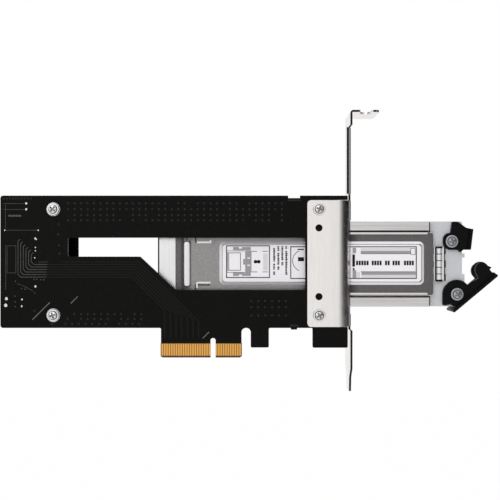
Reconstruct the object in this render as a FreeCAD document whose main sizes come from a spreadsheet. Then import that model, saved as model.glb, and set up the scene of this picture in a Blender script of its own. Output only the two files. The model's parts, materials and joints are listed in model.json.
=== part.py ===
"""Expansion card with a removable solid-state drive tray.

The card stands as it stands in a slot: +X leaves the computer through the slot bracket, +Z is up, and
the solder side looks along -Y. The origin is on the key notch of the edge contacts, at the middle of
the board's thickness and at the contacts' bottom edge. All lengths are millimetres.
"""
import FreeCAD, Part
import math
import os
import re
import Sketcher
from FreeCAD import Placement, Rotation, Vector

SIZES = {
    # circuit board
    "board_right": 57.2, "board_length": 147.5, "board_height": 68.8, "board_thick": 1.6,
    "board_rise": 12.6, "board_corner": 1.2, "board_ease": 0.6,
    "key_width": 2.2, "key_height": 8.3,
    "stub_gap": 3.9, "stub_width": 7.7, "stub_bottom": 4.3,
    "foot_width": 14.9, "foot_bottom": 4.2,
    "nub_left": 33.1, "nub_width": 2.6, "nub_depth": 0.7,
    "recess_left": 31.9, "recess_width": 5.1, "recess_depth": 1.05,
    "window_left": -61.7, "window_right": 39.2, "window_above": 11.2, "window_below": 11.0,
    "window_step": 3.2, "slope_left": -31.0, "slope_right": -15.8, "window_corner": 0.8,
    # edge contacts
    "contact_pitch": 1.0, "contact_width": 0.7, "contact_top": 5.9, "contact_base": 0.9,
    "contact_skin": 0.04, "contact_start": 1.5, "contact_margin": 0.6,
    "contact_count_short": 11, "contact_count_wide": 21, "edge_bevel": 0.45,
    # slot bracket
    "bracket_face": 59.1, "bracket_sheet": 0.9, "bracket_width": 18.42, "bracket_height": 120.02,
    "bracket_top": 105.05, "bracket_corner": 1.0, "bend_radius": 6.0, "bend_relief": 1.6,
    "fold_top": 98.0, "fold_reach": 2.3,
    "tongue_width": 10.19, "tongue_near": 2.4, "tongue_shoulder": -4.5, "tongue_waist": -8.6,
    "lip_reach": 11.5, "lip_bend": 1.3, "lip_corner": 1.5,
    "notch_place": 5.8, "notch_radius": 2.3, "notch_depth": 6.1,
    "flange_reach": 19.1, "flange_below": 4.9, "flange_above": 3.8, "flange_corner": 1.7,
    "spare_place": 44.9, "spare_pitch": 29.1, "spare_radius": 1.525,
    "bay_play": 0.6, "fold_gap": 0.2, "rail_end_gap": 1.9,
    # screws that hold the bracket and the guide rails
    "screw_share_low": 0.392, "screw_share_high": 0.595, "flange_screw": 45.0, "frame_screw": -67.8,
    "screw_radius": 1.25, "screw_play": 0.35, "screw_length": 7.0, "head_radius": 2.6,
    "head_thick": 1.7, "head_round": 0.7, "cross_length": 2.9, "cross_width": 0.6, "cross_depth": 0.8,
    # guide rails and end bridge
    "rail_play": 0.3, "rail_lip": 1.8, "rail_share": 0.14057, "rail_base": 6.2, "rail_wall": 3.2,
    "rail_back": 1.2, "rail_back_play": 0.4, "rail_left": -82.8, "rail_round": 0.6, "bore_depth": 6.0,
    "bridge_right": -60.6, "bridge_wall": 1.2, "bridge_round": 1.0, "bridge_edge": 0.6,
    "bridge_screw": -71.0,
    "small_radius": 0.95, "small_play": 0.1, "small_head": 1.9, "small_length": 5.0, "small_thick": 1.1,
    # drive socket and the board's small parts
    "socket_gap": 0.4, "socket_depth": 8.2, "socket_width": 22.0, "socket_height": 7.4,
    "socket_slot": 0.9, "socket_slot_deep": 4.2, "socket_slot_wide": 20.0, "drive_level": 5.9,
    "leg_pitch": 0.5, "leg_count": 33, "leg_width": 0.22, "leg_out": 0.8, "leg_thick": 0.2,
    "coupler_count": 8, "coupler_pitch": 3.0, "coupler_left": -20.5,
    "coupler_long": 1.0, "coupler_wide": 0.5, "coupler_thick": 0.5,
    "supply_count": 4, "supply_pitch": 4.4, "supply_left": -56.0,
    "supply_long": 2.0, "supply_wide": 1.25, "supply_thick": 0.85,
    # sliding tray
    "tray_left": -23.8, "tray_travel": 49.0, "tray_near": 2.2, "tray_depth": 11.2,
    "tray_share": 0.65125, "tray_rise_share": 0.482206,
    "tray_side": 3.9, "tray_floor": 1.2, "side_end": 92.7, "tray_groove": 3.2, "tray_groove_deep": 1.2,
    "shield_reach": 7.6, "shield_sheet": 0.8, "shield_inset": 0.7, "shield_bend": 0.7,
    # stamped tray cover
    "cover_left": -15.9, "cover_right": 94.7, "cover_play": 0.6, "cover_inset": 1.0,
    "cover_sheet": 0.8, "cover_lip": 3.6, "cover_round": 0.7, "cover_corner": 1.2,
    "plateau_left": 2.6, "plateau_right": 90.4, "plateau_width": 18.6, "plateau_rise": 0.8,
    "plateau_slope": 54.0, "plateau_corner": 2.2, "plateau_lift": 0.35,
    "rib_left": -12.5, "rib_width": 2.3, "rib_inset_low": 4.7, "rib_inset_high": 1.5,
    "rib_rise": 0.55, "rib_slope": 45.0,
    "slit_left": -8.0, "slit_right": -1.5, "slit_width": 0.7, "slit_leg": 2.6,
    "slit_inset_low": 4.5, "slit_inset_high": 4.1,
    "label_skin": 0.1, "label_edge": 1.35, "label_corner": 1.4,
    "pad_left": 8.0, "pad_right": 85.0, "pad_width": 13.0, "pad_thick": 1.9,
    # cover hinge
    "hinge_place": 97.2, "hinge_radius": 1.3, "hinge_pin": 0.55, "hinge_pitch": 2.92,
    "hinge_gap": 0.16, "hinge_drop": 0.8,
    # front plate of the tray
    "plate_left": 93.2, "plate_right": 107.2, "plate_inset": 2.7, "plate_wall": 1.6, "plate_side": 1.4,
    "plate_corner": 0.8, "plate_ledge": 0.1, "hatch_right": 100.2, "boss_radius": 2.6,
    "chamfer_across": 3.05, "chamfer_up": 2.55,
    "tooth_reach": 1.1, "upper_tooth_low": 2.7, "upper_tooth_high": 4.5,
    "lower_tooth_low": -7.8, "lower_tooth_high": -4.4,
    # drive standoff inside the tray
    "standoff_place": 56.0, "standoff_radius": 2.2, "standoff_level": 3.0,
    "standoff_bore": 0.8, "standoff_deep": 2.0,
    # pivots shared by the lever and the latch
    "pivot_radius": 1.25, "pivot_play": 0.05, "pivot_head": 2.7, "pivot_head_thick": 1.2,
    "pivot_length": 6.4, "head_gap": 0.05, "arm_thick": 1.2, "arm_gap": 0.1, "face_near": 0.2,
    "full_round": 0.95,
    # ejector lever, measured from its pivot with its face upright
    "lever_x": 104.7, "lever_inset": 5.25, "lever_open": 50.1,
    "lever_face": 5.1, "face_thick": 1.3, "face_low": 6.2, "crest_drop": 4.25, "face_round": 0.5,
    "lever_eye": 6.1, "knob_x": 1.3, "knob_share": 0.167, "knob_play": 0.1, "neck_x": 0.2,
    "catch_x": 0.69, "catch_drop": 3.86, "catch_round": 0.15, "ramp_x": 0.9, "ramp_drop": 4.65,
    "gap_drop": 5.1, "gap_left": 0.85, "gap_right": 2.35, "crest_x": 3.3,
    "heel_drop": 2.85, "toe_x": 0.3, "toe_z": 7.7, "toe_back": 0.6, "toe_up": 6.6,
    "sole_x": 1.2, "sole_z": 5.2,
    # release latch, measured from its pivot
    "latch_x": 102.45, "latch_inset": 8.6, "latch_eye": 3.66,
    "latch_top": 8.5, "latch_top_left": 0.2, "latch_top_right": 2.6, "shoulder_x": 6.2,
    "shoulder_z": 5.9, "button_x": 9.0, "button_z": 5.3, "button_foot": 7.95, "latch_bottom": 3.6,
    "hook_left": 3.14, "hook_right": 4.0, "hook_drop": 4.5, "hook_root": 4.95, "hook_heel": 3.0,
    "spring_wire": 0.7, "spring_turns": 3,
}

doc = FreeCAD.newDocument("drive_tray_card")
size = doc.addObject("Spreadsheet::Sheet", "size")
for row, (alias, number) in enumerate(SIZES.items(), start=1):
    size.set(f"A{row}", alias)
    size.set(f"B{row}", str(number))
    size.setAlias(f"B{row}", alias)
doc.recompute()

PARTS = []

# Levels that several pieces share, worked out from the sizes
BOARD_BACK = "board_thick/2"
BRACKET_NEAR = "(-board_thick/2 - bracket_sheet)"
BRACKET_BACK = "(bracket_face - bracket_sheet)"
TRAY_WIDTH = "(tray_share*(board_height - board_rise))"
TRAY_MIDDLE = "(board_rise + tray_rise_share*(board_height - board_rise))"
TRAY_LOW = f"({TRAY_MIDDLE} - {TRAY_WIDTH}/2)"
TRAY_HIGH = f"({TRAY_MIDDLE} + {TRAY_WIDTH}/2)"
RAIL_HEIGHT = "(rail_share*(board_height - board_rise))"
RAIL_LOW = f"({TRAY_LOW} - rail_play - {RAIL_HEIGHT})"
SCREW_LOW = f"({TRAY_LOW} - rail_play - screw_share_low*{RAIL_HEIGHT})"
SCREW_HIGH = f"({TRAY_HIGH} + rail_play + screw_share_high*{RAIL_HEIGHT})"
FLANGE_LOW = f"({SCREW_LOW} - flange_below)"
FLANGE_HIGH = f"({SCREW_HIGH} + flange_above)"
TRAY_FAR = "(tray_near + tray_depth)"
FLOOR = "(tray_near + tray_depth - tray_floor)"
RAIL_FAR = "(tray_near + tray_depth + rail_back_play + rail_back)"
COVER_NEAR = "(tray_near + cover_inset)"
COVER_HALF = f"({TRAY_WIDTH}/2 - tray_side - cover_play)"
PLATE_NEAR = "(tray_near + plate_inset)"
ARM_FAR = "(tray_near + plate_inset - arm_gap)"
ARM_NEAR = "(tray_near + plate_inset - arm_gap - arm_thick)"
HINGE_LEVEL = "(tray_near + cover_inset + hinge_radius)"
SOCKET_RIGHT = "(tray_left - tray_travel - socket_gap)"
HINGE_LOW = f"({TRAY_MIDDLE} - 2.5*hinge_pitch)"
HINGE_HIGH = f"({TRAY_MIDDLE} + 2.5*hinge_pitch)"
LEVER_Z = f"({TRAY_LOW} + lever_inset)"
LATCH_Z = f"({TRAY_HIGH} - latch_inset)"
REACH = f"({TRAY_WIDTH} - lever_inset - latch_inset)"
PLATEAU_MIDDLE = f"({TRAY_MIDDLE} + plateau_lift)"
LEVER_SWEEP = f"({LEVER_Z} - sqrt(lever_face*lever_face + face_low*face_low) - bay_play)"
TOE_HOME = "(lever_x - tray_travel - sqrt(toe_x*toe_x + toe_z*toe_z) - bay_play)"


def bound(expression):
    """The expression with each size's name pointed at its cell."""
    return re.sub(r"[a-z_][a-z0-9_]*",
                  lambda word: f"size.{word.group()}" if word.group() in SIZES else word.group(),
                  str(expression))


def value(expression):
    """The expression's present value as a plain number."""
    return float(size.evalExpression(bound(expression)))


def pin_point(sketch, edge, end, across, up):
    """Holds one point of a sketch at a place given by two expressions."""
    for kind, expression in (("DistanceX", across), ("DistanceY", up)):
        number = sketch.addConstraint(Sketcher.Constraint(kind, -1, 1, edge, end, value(expression)))
        sketch.setExpression(f"Constraints[{number}]", bound(expression))


def draw_loop(sketch, corners):
    """Draws a closed outline from corners (across, up) or (across, up, round)."""
    count = len(corners)
    points = [Vector(value(corner[0]), value(corner[1]), 0) for corner in corners]
    before = [(points[k - 1] - points[k]).normalize() for k in range(count)]
    after = [(points[(k + 1) % count] - points[k]).normalize() for k in range(count)]
    radii = [value(corner[2]) if len(corner) == 3 else 0 for corner in corners]
    halves = [before[k].getAngle(after[k]) / 2 for k in range(count)]
    setbacks = [radii[k] / math.tan(halves[k]) for k in range(count)]
    sides = [sketch.addGeometry(Part.LineSegment(
        points[k] + after[k] * setbacks[k],
        points[(k + 1) % count] + before[(k + 1) % count] * setbacks[(k + 1) % count]))
        for k in range(count)]
    for k, corner in enumerate(corners):
        arriving, leaving = sides[k - 1], sides[k]
        if len(corner) == 2:
            sketch.addConstraint(Sketcher.Constraint("Coincident", arriving, 2, leaving, 1))
            pin_point(sketch, leaving, 1, corner[0], corner[1])
            continue
        inward = (before[k] + after[k]).normalize()
        middle = points[k] + inward * (radii[k] / math.sin(halves[k]) - radii[k])
        start = points[k] + before[k] * setbacks[k]
        arc = sketch.addGeometry(Part.Arc(start, middle, points[k] + after[k] * setbacks[k]))
        forward = sketch.getPoint(arc, 1).distanceToPoint(start) < 1e-6
        first, last = (1, 2) if forward else (2, 1)
        mark = sketch.addGeometry(Part.Point(points[k]), True)
        pin_point(sketch, mark, 1, corner[0], corner[1])
        sketch.addConstraint(Sketcher.Constraint("Tangent", arriving, 2, arc, first))
        sketch.addConstraint(Sketcher.Constraint("Tangent", arc, last, leaving, 1))
        number = sketch.addConstraint(Sketcher.Constraint("Radius", arc, radii[k]))
        sketch.setExpression(f"Constraints[{number}]", bound(corner[2]))
        sketch.addConstraint(Sketcher.Constraint("PointOnObject", mark, 1, arriving))
        sketch.addConstraint(Sketcher.Constraint("PointOnObject", mark, 1, leaving))


def draw_circle(sketch, across, up, radius):
    """Draws a circle whose centre and radius are expressions."""
    centre = Vector(value(across), value(up), 0)
    ring = sketch.addGeometry(Part.Circle(centre, Vector(0, 0, 1), value(radius)))
    pin_point(sketch, ring, 3, across, up)
    number = sketch.addConstraint(Sketcher.Constraint("Radius", ring, value(radius)))
    sketch.setExpression(f"Constraints[{number}]", bound(radius))


def box_loop(left, right, low, high, *rounding):
    """The four corners of an upright rectangle, with one radius for all if given."""
    return [(left, low, *rounding), (right, low, *rounding),
            (right, high, *rounding), (left, high, *rounding)]


class Piece:
    """A sub-part: one body with sketches on its own planes.

    Each step is drawn on a plane and runs from one level to another along that plane's axis: front
    views (XZ) run along +Y, side views (YZ) along +X and top views (XY) along +Z.
    """

    def __init__(self, label):
        self.body = doc.addObject("PartDesign::Body", label)
        self.body.Label = label
        PARTS.append(self.body)

    def sketch(self, plane, level, loops, circles):
        sketch = self.body.newObject("Sketcher::SketchObject", "sketch")
        ground = [item for item in self.body.Origin.OriginFeatures if item.Role == f"{plane}_Plane"]
        sketch.AttachmentSupport = [(ground[0], "")]
        sketch.MapMode = "FlatFace"
        sign = "-1*" if plane == "XZ" else ""
        sketch.setExpression("AttachmentOffset.Base.z", bound(f"{sign}({level})"))
        for loop in loops:
            draw_loop(sketch, loop)
        for circle in circles:
            draw_circle(sketch, *circle)
        return sketch

    def step(self, kind, plane, start, end, loops, circles):
        profile = self.sketch(plane, start, loops, circles)
        feature = self.body.newObject(f"PartDesign::{kind}", kind.lower())
        feature.Profile = profile
        feature.setExpression("Length", bound(f"({end}) - ({start})"))
        feature.Reversed = (kind == "Pad") == (plane == "XZ")
        return feature

    def pad(self, plane, start, end, loops=(), circles=()):
        return self.step("Pad", plane, start, end, loops, circles)

    def pocket(self, plane, start, end, loops=(), circles=()):
        """Cuts a pocket, and makes sure that it took something away."""
        doc.recompute()
        volume = self.body.Shape.Volume
        feature = self.step("Pocket", plane, start, end, loops, circles)
        doc.recompute()
        if self.body.Shape.Volume > volume - 1e-6:
            raise RuntimeError(f"a pocket of {self.body.Label} cuts nothing")
        return feature

    def emboss(self, front, back, rise, slope, loop):
        """Presses an outline of the sheet forward by the rise, with sloped sides, hollow behind."""
        for kind, level in (("Pad", front), ("Pocket", back)):
            feature = self.step(kind, "XZ", level, f"({level} + {rise})", [loop], ())
            feature.Reversed = kind == "Pocket"
            feature.setExpression("TaperAngle", bound(f"-{slope}"))

    def ease(self, kind, amount, chosen):
        """Rounds or bevels the edges whose middle point is chosen."""
        doc.recompute()
        tip = self.body.Tip
        names = [f"Edge{number}" for number, edge in enumerate(tip.Shape.Edges, start=1)
                 if chosen(edge.valueAt((edge.FirstParameter + edge.LastParameter) / 2), edge)]
        if not names:
            raise RuntimeError(f"{self.body.Label} has no edge to ease")
        feature = self.body.newObject(f"PartDesign::{kind}", kind.lower())
        feature.Base = (tip, names)
        feature.setExpression("Radius" if kind == "Fillet" else "Size", bound(amount))
        return feature

    def place(self, x, z, turn=None):
        """Moves the piece from the origin to its pivot, and turns it about the pivot."""
        if turn is not None:
            self.body.Placement = Placement(Vector(), Rotation(Vector(0, 1, 0), 0))
            self.body.setExpression("Placement.Rotation.Angle", bound(turn))
        self.body.setExpression("Placement.Base.x", bound(x))
        self.body.setExpression("Placement.Base.z", bound(z))


def group(label, solids):
    """A sub-part of several like solids that stay separate."""
    feature = doc.addObject("Part::Feature", label)
    feature.Label = label
    feature.Shape = Part.makeCompound(solids)
    PARTS.append(feature)


def near(number, expression):
    """Whether a coordinate lies at the expression's value."""
    return abs(number - value(expression)) < 1e-4


def block(left, right, front, back, low, high):
    """A plain block between six numbers."""
    return Part.makeBox(right - left, back - front, high - low, Vector(left, front, low))


# ---- card ----

def circuit_board():
    """The board: stepped edge with contacts, key notch and stubs, and the window over the tray."""
    board = Piece("circuit_board")
    left = "board_right - board_length"
    long_edge = "-contact_start - (contact_count_wide - 1)*contact_pitch - contact_margin"
    short_edge = "contact_start + (contact_count_short - 1)*contact_pitch + contact_margin"
    key = "key_width*full_round/2"
    bend_clear = "bracket_face - bend_radius - fold_gap"
    notch_low, notch_high = f"{FLANGE_LOW} - fold_gap", f"{FLANGE_HIGH} + fold_gap"
    outline = [
        (left, "board_rise", "board_corner"), (long_edge, "board_rise", "board_ease"),
        (long_edge, "board_ease"), (f"{long_edge} + board_ease", "0"), ("-key_width/2", "0"),
        ("-key_width/2", "key_height", key), ("key_width/2", "key_height", key),
        ("key_width/2", "0"), (f"{short_edge} - board_ease", "0"), (short_edge, "board_ease"),
        (short_edge, "board_rise", "stub_gap*full_round/2"),
        (f"{short_edge} + stub_gap", "board_rise", "stub_gap*full_round/2"),
        (f"{short_edge} + stub_gap", "stub_bottom", "board_ease"),
        (f"{short_edge} + stub_gap + stub_width", "stub_bottom", "board_ease"),
        (f"{short_edge} + stub_gap + stub_width", "board_rise", "board_ease"),
        ("nub_left", "board_rise"), ("nub_left", "board_rise - nub_depth"),
        ("nub_left + nub_width", "board_rise - nub_depth"), ("nub_left + nub_width", "board_rise"),
        ("board_right - foot_width", "board_rise", "board_ease"),
        ("board_right - foot_width", "foot_bottom", "board_ease"),
        ("board_right", "foot_bottom", "board_ease"),
        ("board_right", notch_low), (bend_clear, notch_low),
        (bend_clear, notch_high), ("board_right", notch_high),
        ("board_right", "board_height", "board_ease/2"),
        ("recess_left + recess_width", "board_height"),
        ("recess_left + recess_width", "board_height - recess_depth"),
        ("recess_left", "board_height - recess_depth"), ("recess_left", "board_height"),
        (left, "board_height", "board_corner")]
    step = f"{TRAY_MIDDLE} + window_step"
    low, high = f"{TRAY_MIDDLE} - window_below", f"{TRAY_MIDDLE} + window_above"
    window = [
        ("window_left", step, "window_corner"), ("slope_left", step, "window_corner"),
        ("slope_right", low, "window_corner"), ("window_right", low, "window_corner"),
        ("window_right", high, "window_corner"), ("window_left", high, "window_corner")]
    holes = [(place, up, "screw_radius + screw_play")
             for place in ("flange_screw", "frame_screw") for up in (SCREW_LOW, SCREW_HIGH)]
    board.pad("XZ", "-board_thick/2", BOARD_BACK, [outline, window], holes)
    board.ease("Chamfer", "edge_bevel", lambda middle, edge: near(middle.z, "0") and near(
        abs(middle.y), "board_thick/2"))


def edge_contacts():
    """Gold contacts on both faces, in a short and a long row beside the key notch."""
    half, pitch, start = value("contact_width/2"), value("contact_pitch"), value("contact_start")
    places = [start + number * pitch for number in range(int(value("contact_count_short")))]
    places += [-start - number * pitch for number in range(int(value("contact_count_wide")))]
    face, skin = value(BOARD_BACK), value("contact_skin")
    low, high = value("contact_base"), value("contact_top")
    group("edge_contacts", [
        block(place - half, place + half, front, front + skin, low, high)
        for place in places for front in (-face - skin, face)])


def slot_bracket():
    """One folded sheet: plate with the tray's window, top lip, tongue, and a flange for the board.

    The flange's bend goes on above the board as a narrow stiffening fold.
    """
    bracket = Piece("slot_bracket")
    far = f"{BRACKET_NEAR} + bracket_width"
    low = "bracket_top - bracket_height"
    relief_low = f"{FLANGE_LOW} - bend_relief"
    bend_end = f"{BRACKET_NEAR} + bend_radius + bracket_sheet"
    plate = [
        (BRACKET_NEAR, "bracket_top"), (far, "bracket_top"), (far, "tongue_shoulder", "bracket_corner"),
        ("tongue_near + tongue_width", "tongue_waist", "bracket_corner"),
        ("tongue_near + tongue_width - bracket_corner", low, "bracket_corner/2"),
        ("tongue_near + bracket_corner", low, "bracket_corner/2"),
        ("tongue_near", "tongue_waist", "bracket_corner"),
        (BRACKET_NEAR, "tongue_shoulder", "bracket_corner"),
        (BRACKET_NEAR, relief_low), (bend_end, relief_low),
        (bend_end, "fold_top + bend_relief/2"), (BRACKET_NEAR, "fold_top + bend_relief/2")]
    opening = box_loop("tray_near - rail_play", f"{TRAY_FAR} + bay_play",
                       LEVER_SWEEP, f"{TRAY_HIGH} + bay_play", "bay_play")
    bracket.pad("YZ", BRACKET_BACK, "bracket_face", [plate])
    lip_end = "bracket_face + lip_reach"
    notch = "bracket_face + notch_place"
    lip = [
        (BRACKET_BACK, BRACKET_NEAR), (f"{notch} - notch_radius", BRACKET_NEAR, "notch_radius/3"),
        (f"{notch} - notch_radius", f"{BRACKET_NEAR} + notch_depth", "notch_radius*full_round"),
        (f"{notch} + notch_radius", f"{BRACKET_NEAR} + notch_depth", "notch_radius*full_round"),
        (f"{notch} + notch_radius", BRACKET_NEAR, "notch_radius/3"),
        (lip_end, BRACKET_NEAR, "lip_corner"), (lip_end, far, "lip_corner"), (BRACKET_BACK, far)]
    bracket.pad("XY", "bracket_top - bracket_sheet", "bracket_top", [lip])
    bracket.ease("Fillet", "lip_bend", lambda middle, edge: near(
        middle.x, BRACKET_BACK) and near(middle.z, "bracket_top"))
    flange_left = "bracket_face - flange_reach"
    inside = f"{BRACKET_NEAR} + bracket_sheet"
    fold = [
        (flange_left, BRACKET_NEAR), ("bracket_face", BRACKET_NEAR, "bend_radius"),
        ("bracket_face", f"{bend_end} + bracket_sheet"), (BRACKET_BACK, f"{bend_end} + bracket_sheet"),
        (BRACKET_BACK, inside, "bend_radius - bracket_sheet"), (flange_left, inside)]
    bracket.pad("XY", FLANGE_LOW, FLANGE_HIGH, [fold])
    above = "board_height + bend_relief/2"
    bracket.pad("XY", above, "fold_top", [fold])
    bracket.pocket("XZ", BRACKET_NEAR, bend_end, [box_loop(
        flange_left, "bracket_face - fold_reach", above, "fold_top")])
    bracket.ease("Fillet", "flange_corner", lambda middle, edge: near(middle.x, flange_left) and near(
        middle.y, f"{BRACKET_NEAR} + bracket_sheet/2"))
    holes = [("flange_screw", up, "screw_radius + screw_play") for up in (SCREW_LOW, SCREW_HIGH)]
    holes += [("spare_place", f"({SCREW_LOW} + {SCREW_HIGH} {sign} spare_pitch)/2", "spare_radius")
              for sign in "-+"]
    bracket.pocket("XZ", BRACKET_NEAR, inside, circles=holes)
    bracket.pocket("YZ", "bracket_face - bend_radius", "bracket_face", [opening])


def guide_rail(label, side):
    """A guide rail beside the tray (side 1 above, -1 below), with lips over the tray's two faces."""
    rail = Piece(label)
    inner = f"{TRAY_MIDDLE} + {side}*({TRAY_WIDTH}/2 + rail_play)"
    tip = f"{inner} - {side}*rail_lip"
    wall = f"{inner} + {side}*rail_wall"
    outer = f"{inner} + {side}*{RAIL_HEIGHT}"
    front, lip = BOARD_BACK, "tray_near - rail_play"
    back = f"{TRAY_FAR} + rail_back_play"
    profile = [
        (front, tip), (lip, tip, "rail_play"), (lip, inner), (back, inner), (back, tip, "rail_play"),
        (RAIL_FAR, tip), (RAIL_FAR, wall, "rail_round"), (f"{front} + rail_base", wall, "rail_round"),
        (f"{front} + rail_base", outer, "rail_round"), (front, outer)]
    rail.pad("YZ", "rail_left", f"{BRACKET_BACK} - rail_end_gap", [profile])
    up = SCREW_HIGH if side > 0 else SCREW_LOW
    rail.pocket("XZ", front, f"{front} + bore_depth",
                circles=[(place, up, "screw_radius") for place in ("flange_screw", "frame_screw")])
    rail.pocket("XZ", f"{RAIL_FAR} - small_length + small_thick", RAIL_FAR,
                circles=[("bridge_screw", f"{inner} + {side}*rail_wall/2", "small_radius*2/3")])
    if side < 0:
        rail.pocket("XZ", lip, RAIL_FAR, [box_loop(
            TOE_HOME, "bracket_face", LEVER_SWEEP, f"{inner} + 2*rail_lip")])


def end_bridge():
    """The moulded end of the guide: a plate across both rails and the wall behind the socket."""
    bridge = Piece("end_bridge")
    reach = f"({TRAY_WIDTH}/2 + rail_play + rail_wall + bridge_edge)"
    high, low = f"{TRAY_MIDDLE} + {reach}", f"{TRAY_MIDDLE} - {reach}"
    screw = f"({TRAY_WIDTH}/2 + rail_play + rail_wall/2)"
    wall = "rail_left - bridge_wall"
    bridge.pad("XZ", RAIL_FAR, f"{RAIL_FAR} + bridge_wall",
               [box_loop(wall, "bridge_right", low, high, "bridge_round")],
               [("bridge_screw", f"{TRAY_MIDDLE} {sign} {screw}", "small_radius + small_play")
                for sign in "+-"])
    bridge.pad("YZ", wall, "rail_left", [
        box_loop(BOARD_BACK, f"{RAIL_FAR} + bridge_wall/2", low, high)])


def drive_socket():
    """The card-edge socket that the drive plugs into, and its row of soldered legs."""
    socket = Piece("drive_socket")
    left = f"{SOCKET_RIGHT} - socket_depth"
    low, high = f"{TRAY_MIDDLE} - socket_width/2", f"{TRAY_MIDDLE} + socket_width/2"
    top = f"{BOARD_BACK} + socket_height"
    profile = [(left, BOARD_BACK), (SOCKET_RIGHT, BOARD_BACK), (SOCKET_RIGHT, top, "board_ease"),
               (left, top, "2*board_ease")]
    socket.pad("XY", low, high, [profile])
    slot = box_loop("drive_level - socket_slot/2", "drive_level + socket_slot/2",
                    f"{TRAY_MIDDLE} - socket_slot_wide/2", f"{TRAY_MIDDLE} + socket_slot_wide/2")
    socket.pocket("YZ", f"{SOCKET_RIGHT} - socket_slot_deep", SOCKET_RIGHT, [slot])
    edge, face, width = value(left), value(BOARD_BACK), value("leg_width")
    base = value(f"{TRAY_MIDDLE} - leg_pitch*(leg_count - 1)/2 - leg_width/2")
    lows = [base + number * value("leg_pitch") for number in range(int(value("leg_count")))]
    group("socket_legs", [
        block(edge - value("leg_out"), edge, face, face + value("leg_thick"), low, low + width)
        for low in lows])


def chip_row(name, middle):
    """A row of ceramic chip capacitors on the component side."""
    long, wide, face = value(f"{name}_long"), value(f"{name}_wide"), value(BOARD_BACK)
    low = value(f"{middle} - {name}_long/2")
    lefts = [value(f"{name}_left") + number * value(f"{name}_pitch")
             for number in range(int(value(f"{name}_count")))]
    group(f"{name}_capacitors", [
        block(left, left + wide, face, face + value(f"{name}_thick"), low, low + long)
        for left in lefts])


def cross_screws(label, places, seat, radius, head_radius, head_thick, length):
    """Pan-head screws with a cross recess: the head stands in front of the seat, the shank behind."""
    screws = Piece(label)
    face = f"{seat} - {head_thick}"
    screws.pad("XZ", face, seat, circles=[(x, z, head_radius) for x, z in places])
    screws.ease("Chamfer", "head_round",
                lambda middle, edge: near(middle.y, face))
    screws.pad("XZ", seat, f"{seat} + {length}", circles=[(x, z, radius) for x, z in places])
    reach, half = "cross_length/2", "cross_width/2"
    for across, up in ((reach, half), (half, reach)):
        screws.pocket("XZ", face, f"{face} + cross_depth", [
            box_loop(f"{x} - {across}", f"{x} + {across}", f"{z} - {up}", f"{z} + {up}")
            for x, z in places])


def card_screws():
    """Two screws hold the flange, two hold the rails' inner ends, and two hold the end bridge."""
    cross_screws("bracket_screws", [("flange_screw", SCREW_LOW), ("flange_screw", SCREW_HIGH)],
                 BRACKET_NEAR, "screw_radius", "head_radius", "head_thick", "screw_length")
    cross_screws("frame_screws", [("frame_screw", SCREW_LOW), ("frame_screw", SCREW_HIGH)],
                 "(-board_thick/2)", "screw_radius", "head_radius", "head_thick",
                 "(screw_length - bracket_sheet)")
    bridge_screws()


def bridge_screws():
    """Small screws from behind: their heads look along +Y."""
    screws = Piece("bridge_screws")
    reach = f"({TRAY_WIDTH}/2 + rail_play + rail_wall/2)"
    places = [("bridge_screw", f"{TRAY_MIDDLE} {sign} {reach}") for sign in "+-"]
    seat = f"({RAIL_FAR} + bridge_wall)"
    screws.pad("XZ", seat, f"{seat} + small_thick", circles=[(x, z, "small_head") for x, z in places])
    screws.pad("XZ", RAIL_FAR, seat, circles=[(x, z, "small_radius") for x, z in places])
    screws.pad("XZ", f"{RAIL_FAR} - small_length + small_thick", RAIL_FAR,
               circles=[(x, z, "small_radius*2/3") for x, z in places])


# ---- tray ----

def tray_base():
    """The extruded tray: floor, two solid side rails with outer grooves, and the front plate's bed."""
    tray = Piece("tray_base")
    inner_low, inner_high = f"{TRAY_LOW} + tray_side", f"{TRAY_HIGH} - tray_side"
    start = "tray_near + (tray_depth - tray_groove)/2"
    end = f"{start} + tray_groove"
    profile = [
        ("tray_near", TRAY_LOW, "rail_play"), (start, TRAY_LOW),
        (start, f"{TRAY_LOW} + tray_groove_deep"), (end, f"{TRAY_LOW} + tray_groove_deep"),
        (end, TRAY_LOW), (TRAY_FAR, TRAY_LOW, "rail_play"), (TRAY_FAR, TRAY_HIGH, "rail_play"),
        (end, TRAY_HIGH), (end, f"{TRAY_HIGH} - tray_groove_deep"),
        (start, f"{TRAY_HIGH} - tray_groove_deep"), (start, TRAY_HIGH),
        ("tray_near", TRAY_HIGH, "rail_play"), ("tray_near", inner_high), (FLOOR, inner_high),
        (FLOOR, inner_low), ("tray_near", inner_low)]
    tray.pad("YZ", "tray_left", "side_end", [profile])
    tray.pad("XZ", FLOOR, TRAY_FAR, [[
        ("side_end", TRAY_LOW), ("plate_right - chamfer_across", TRAY_LOW),
        ("plate_right", f"{TRAY_LOW} + chamfer_up"), ("plate_right", TRAY_HIGH, "plate_corner"),
        ("side_end", TRAY_HIGH)]])


def tray_end_shield():
    """A folded strip that bridges the tray's inner end over the drive's connector."""
    shield = Piece("tray_end_shield")
    low, high = f"{TRAY_LOW} + tray_side", f"{TRAY_HIGH} - tray_side"
    face = "tray_near + shield_inset"
    profile = [
        (face, low, "shield_bend"), (FLOOR, low), (FLOOR, f"{low} + shield_sheet"),
        (f"{face} + shield_sheet", f"{low} + shield_sheet"),
        (f"{face} + shield_sheet", f"{high} - shield_sheet"), (FLOOR, f"{high} - shield_sheet"),
        (FLOOR, high), (face, high, "shield_bend")]
    shield.pad("YZ", "tray_left", "tray_left + shield_reach", [profile])


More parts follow.
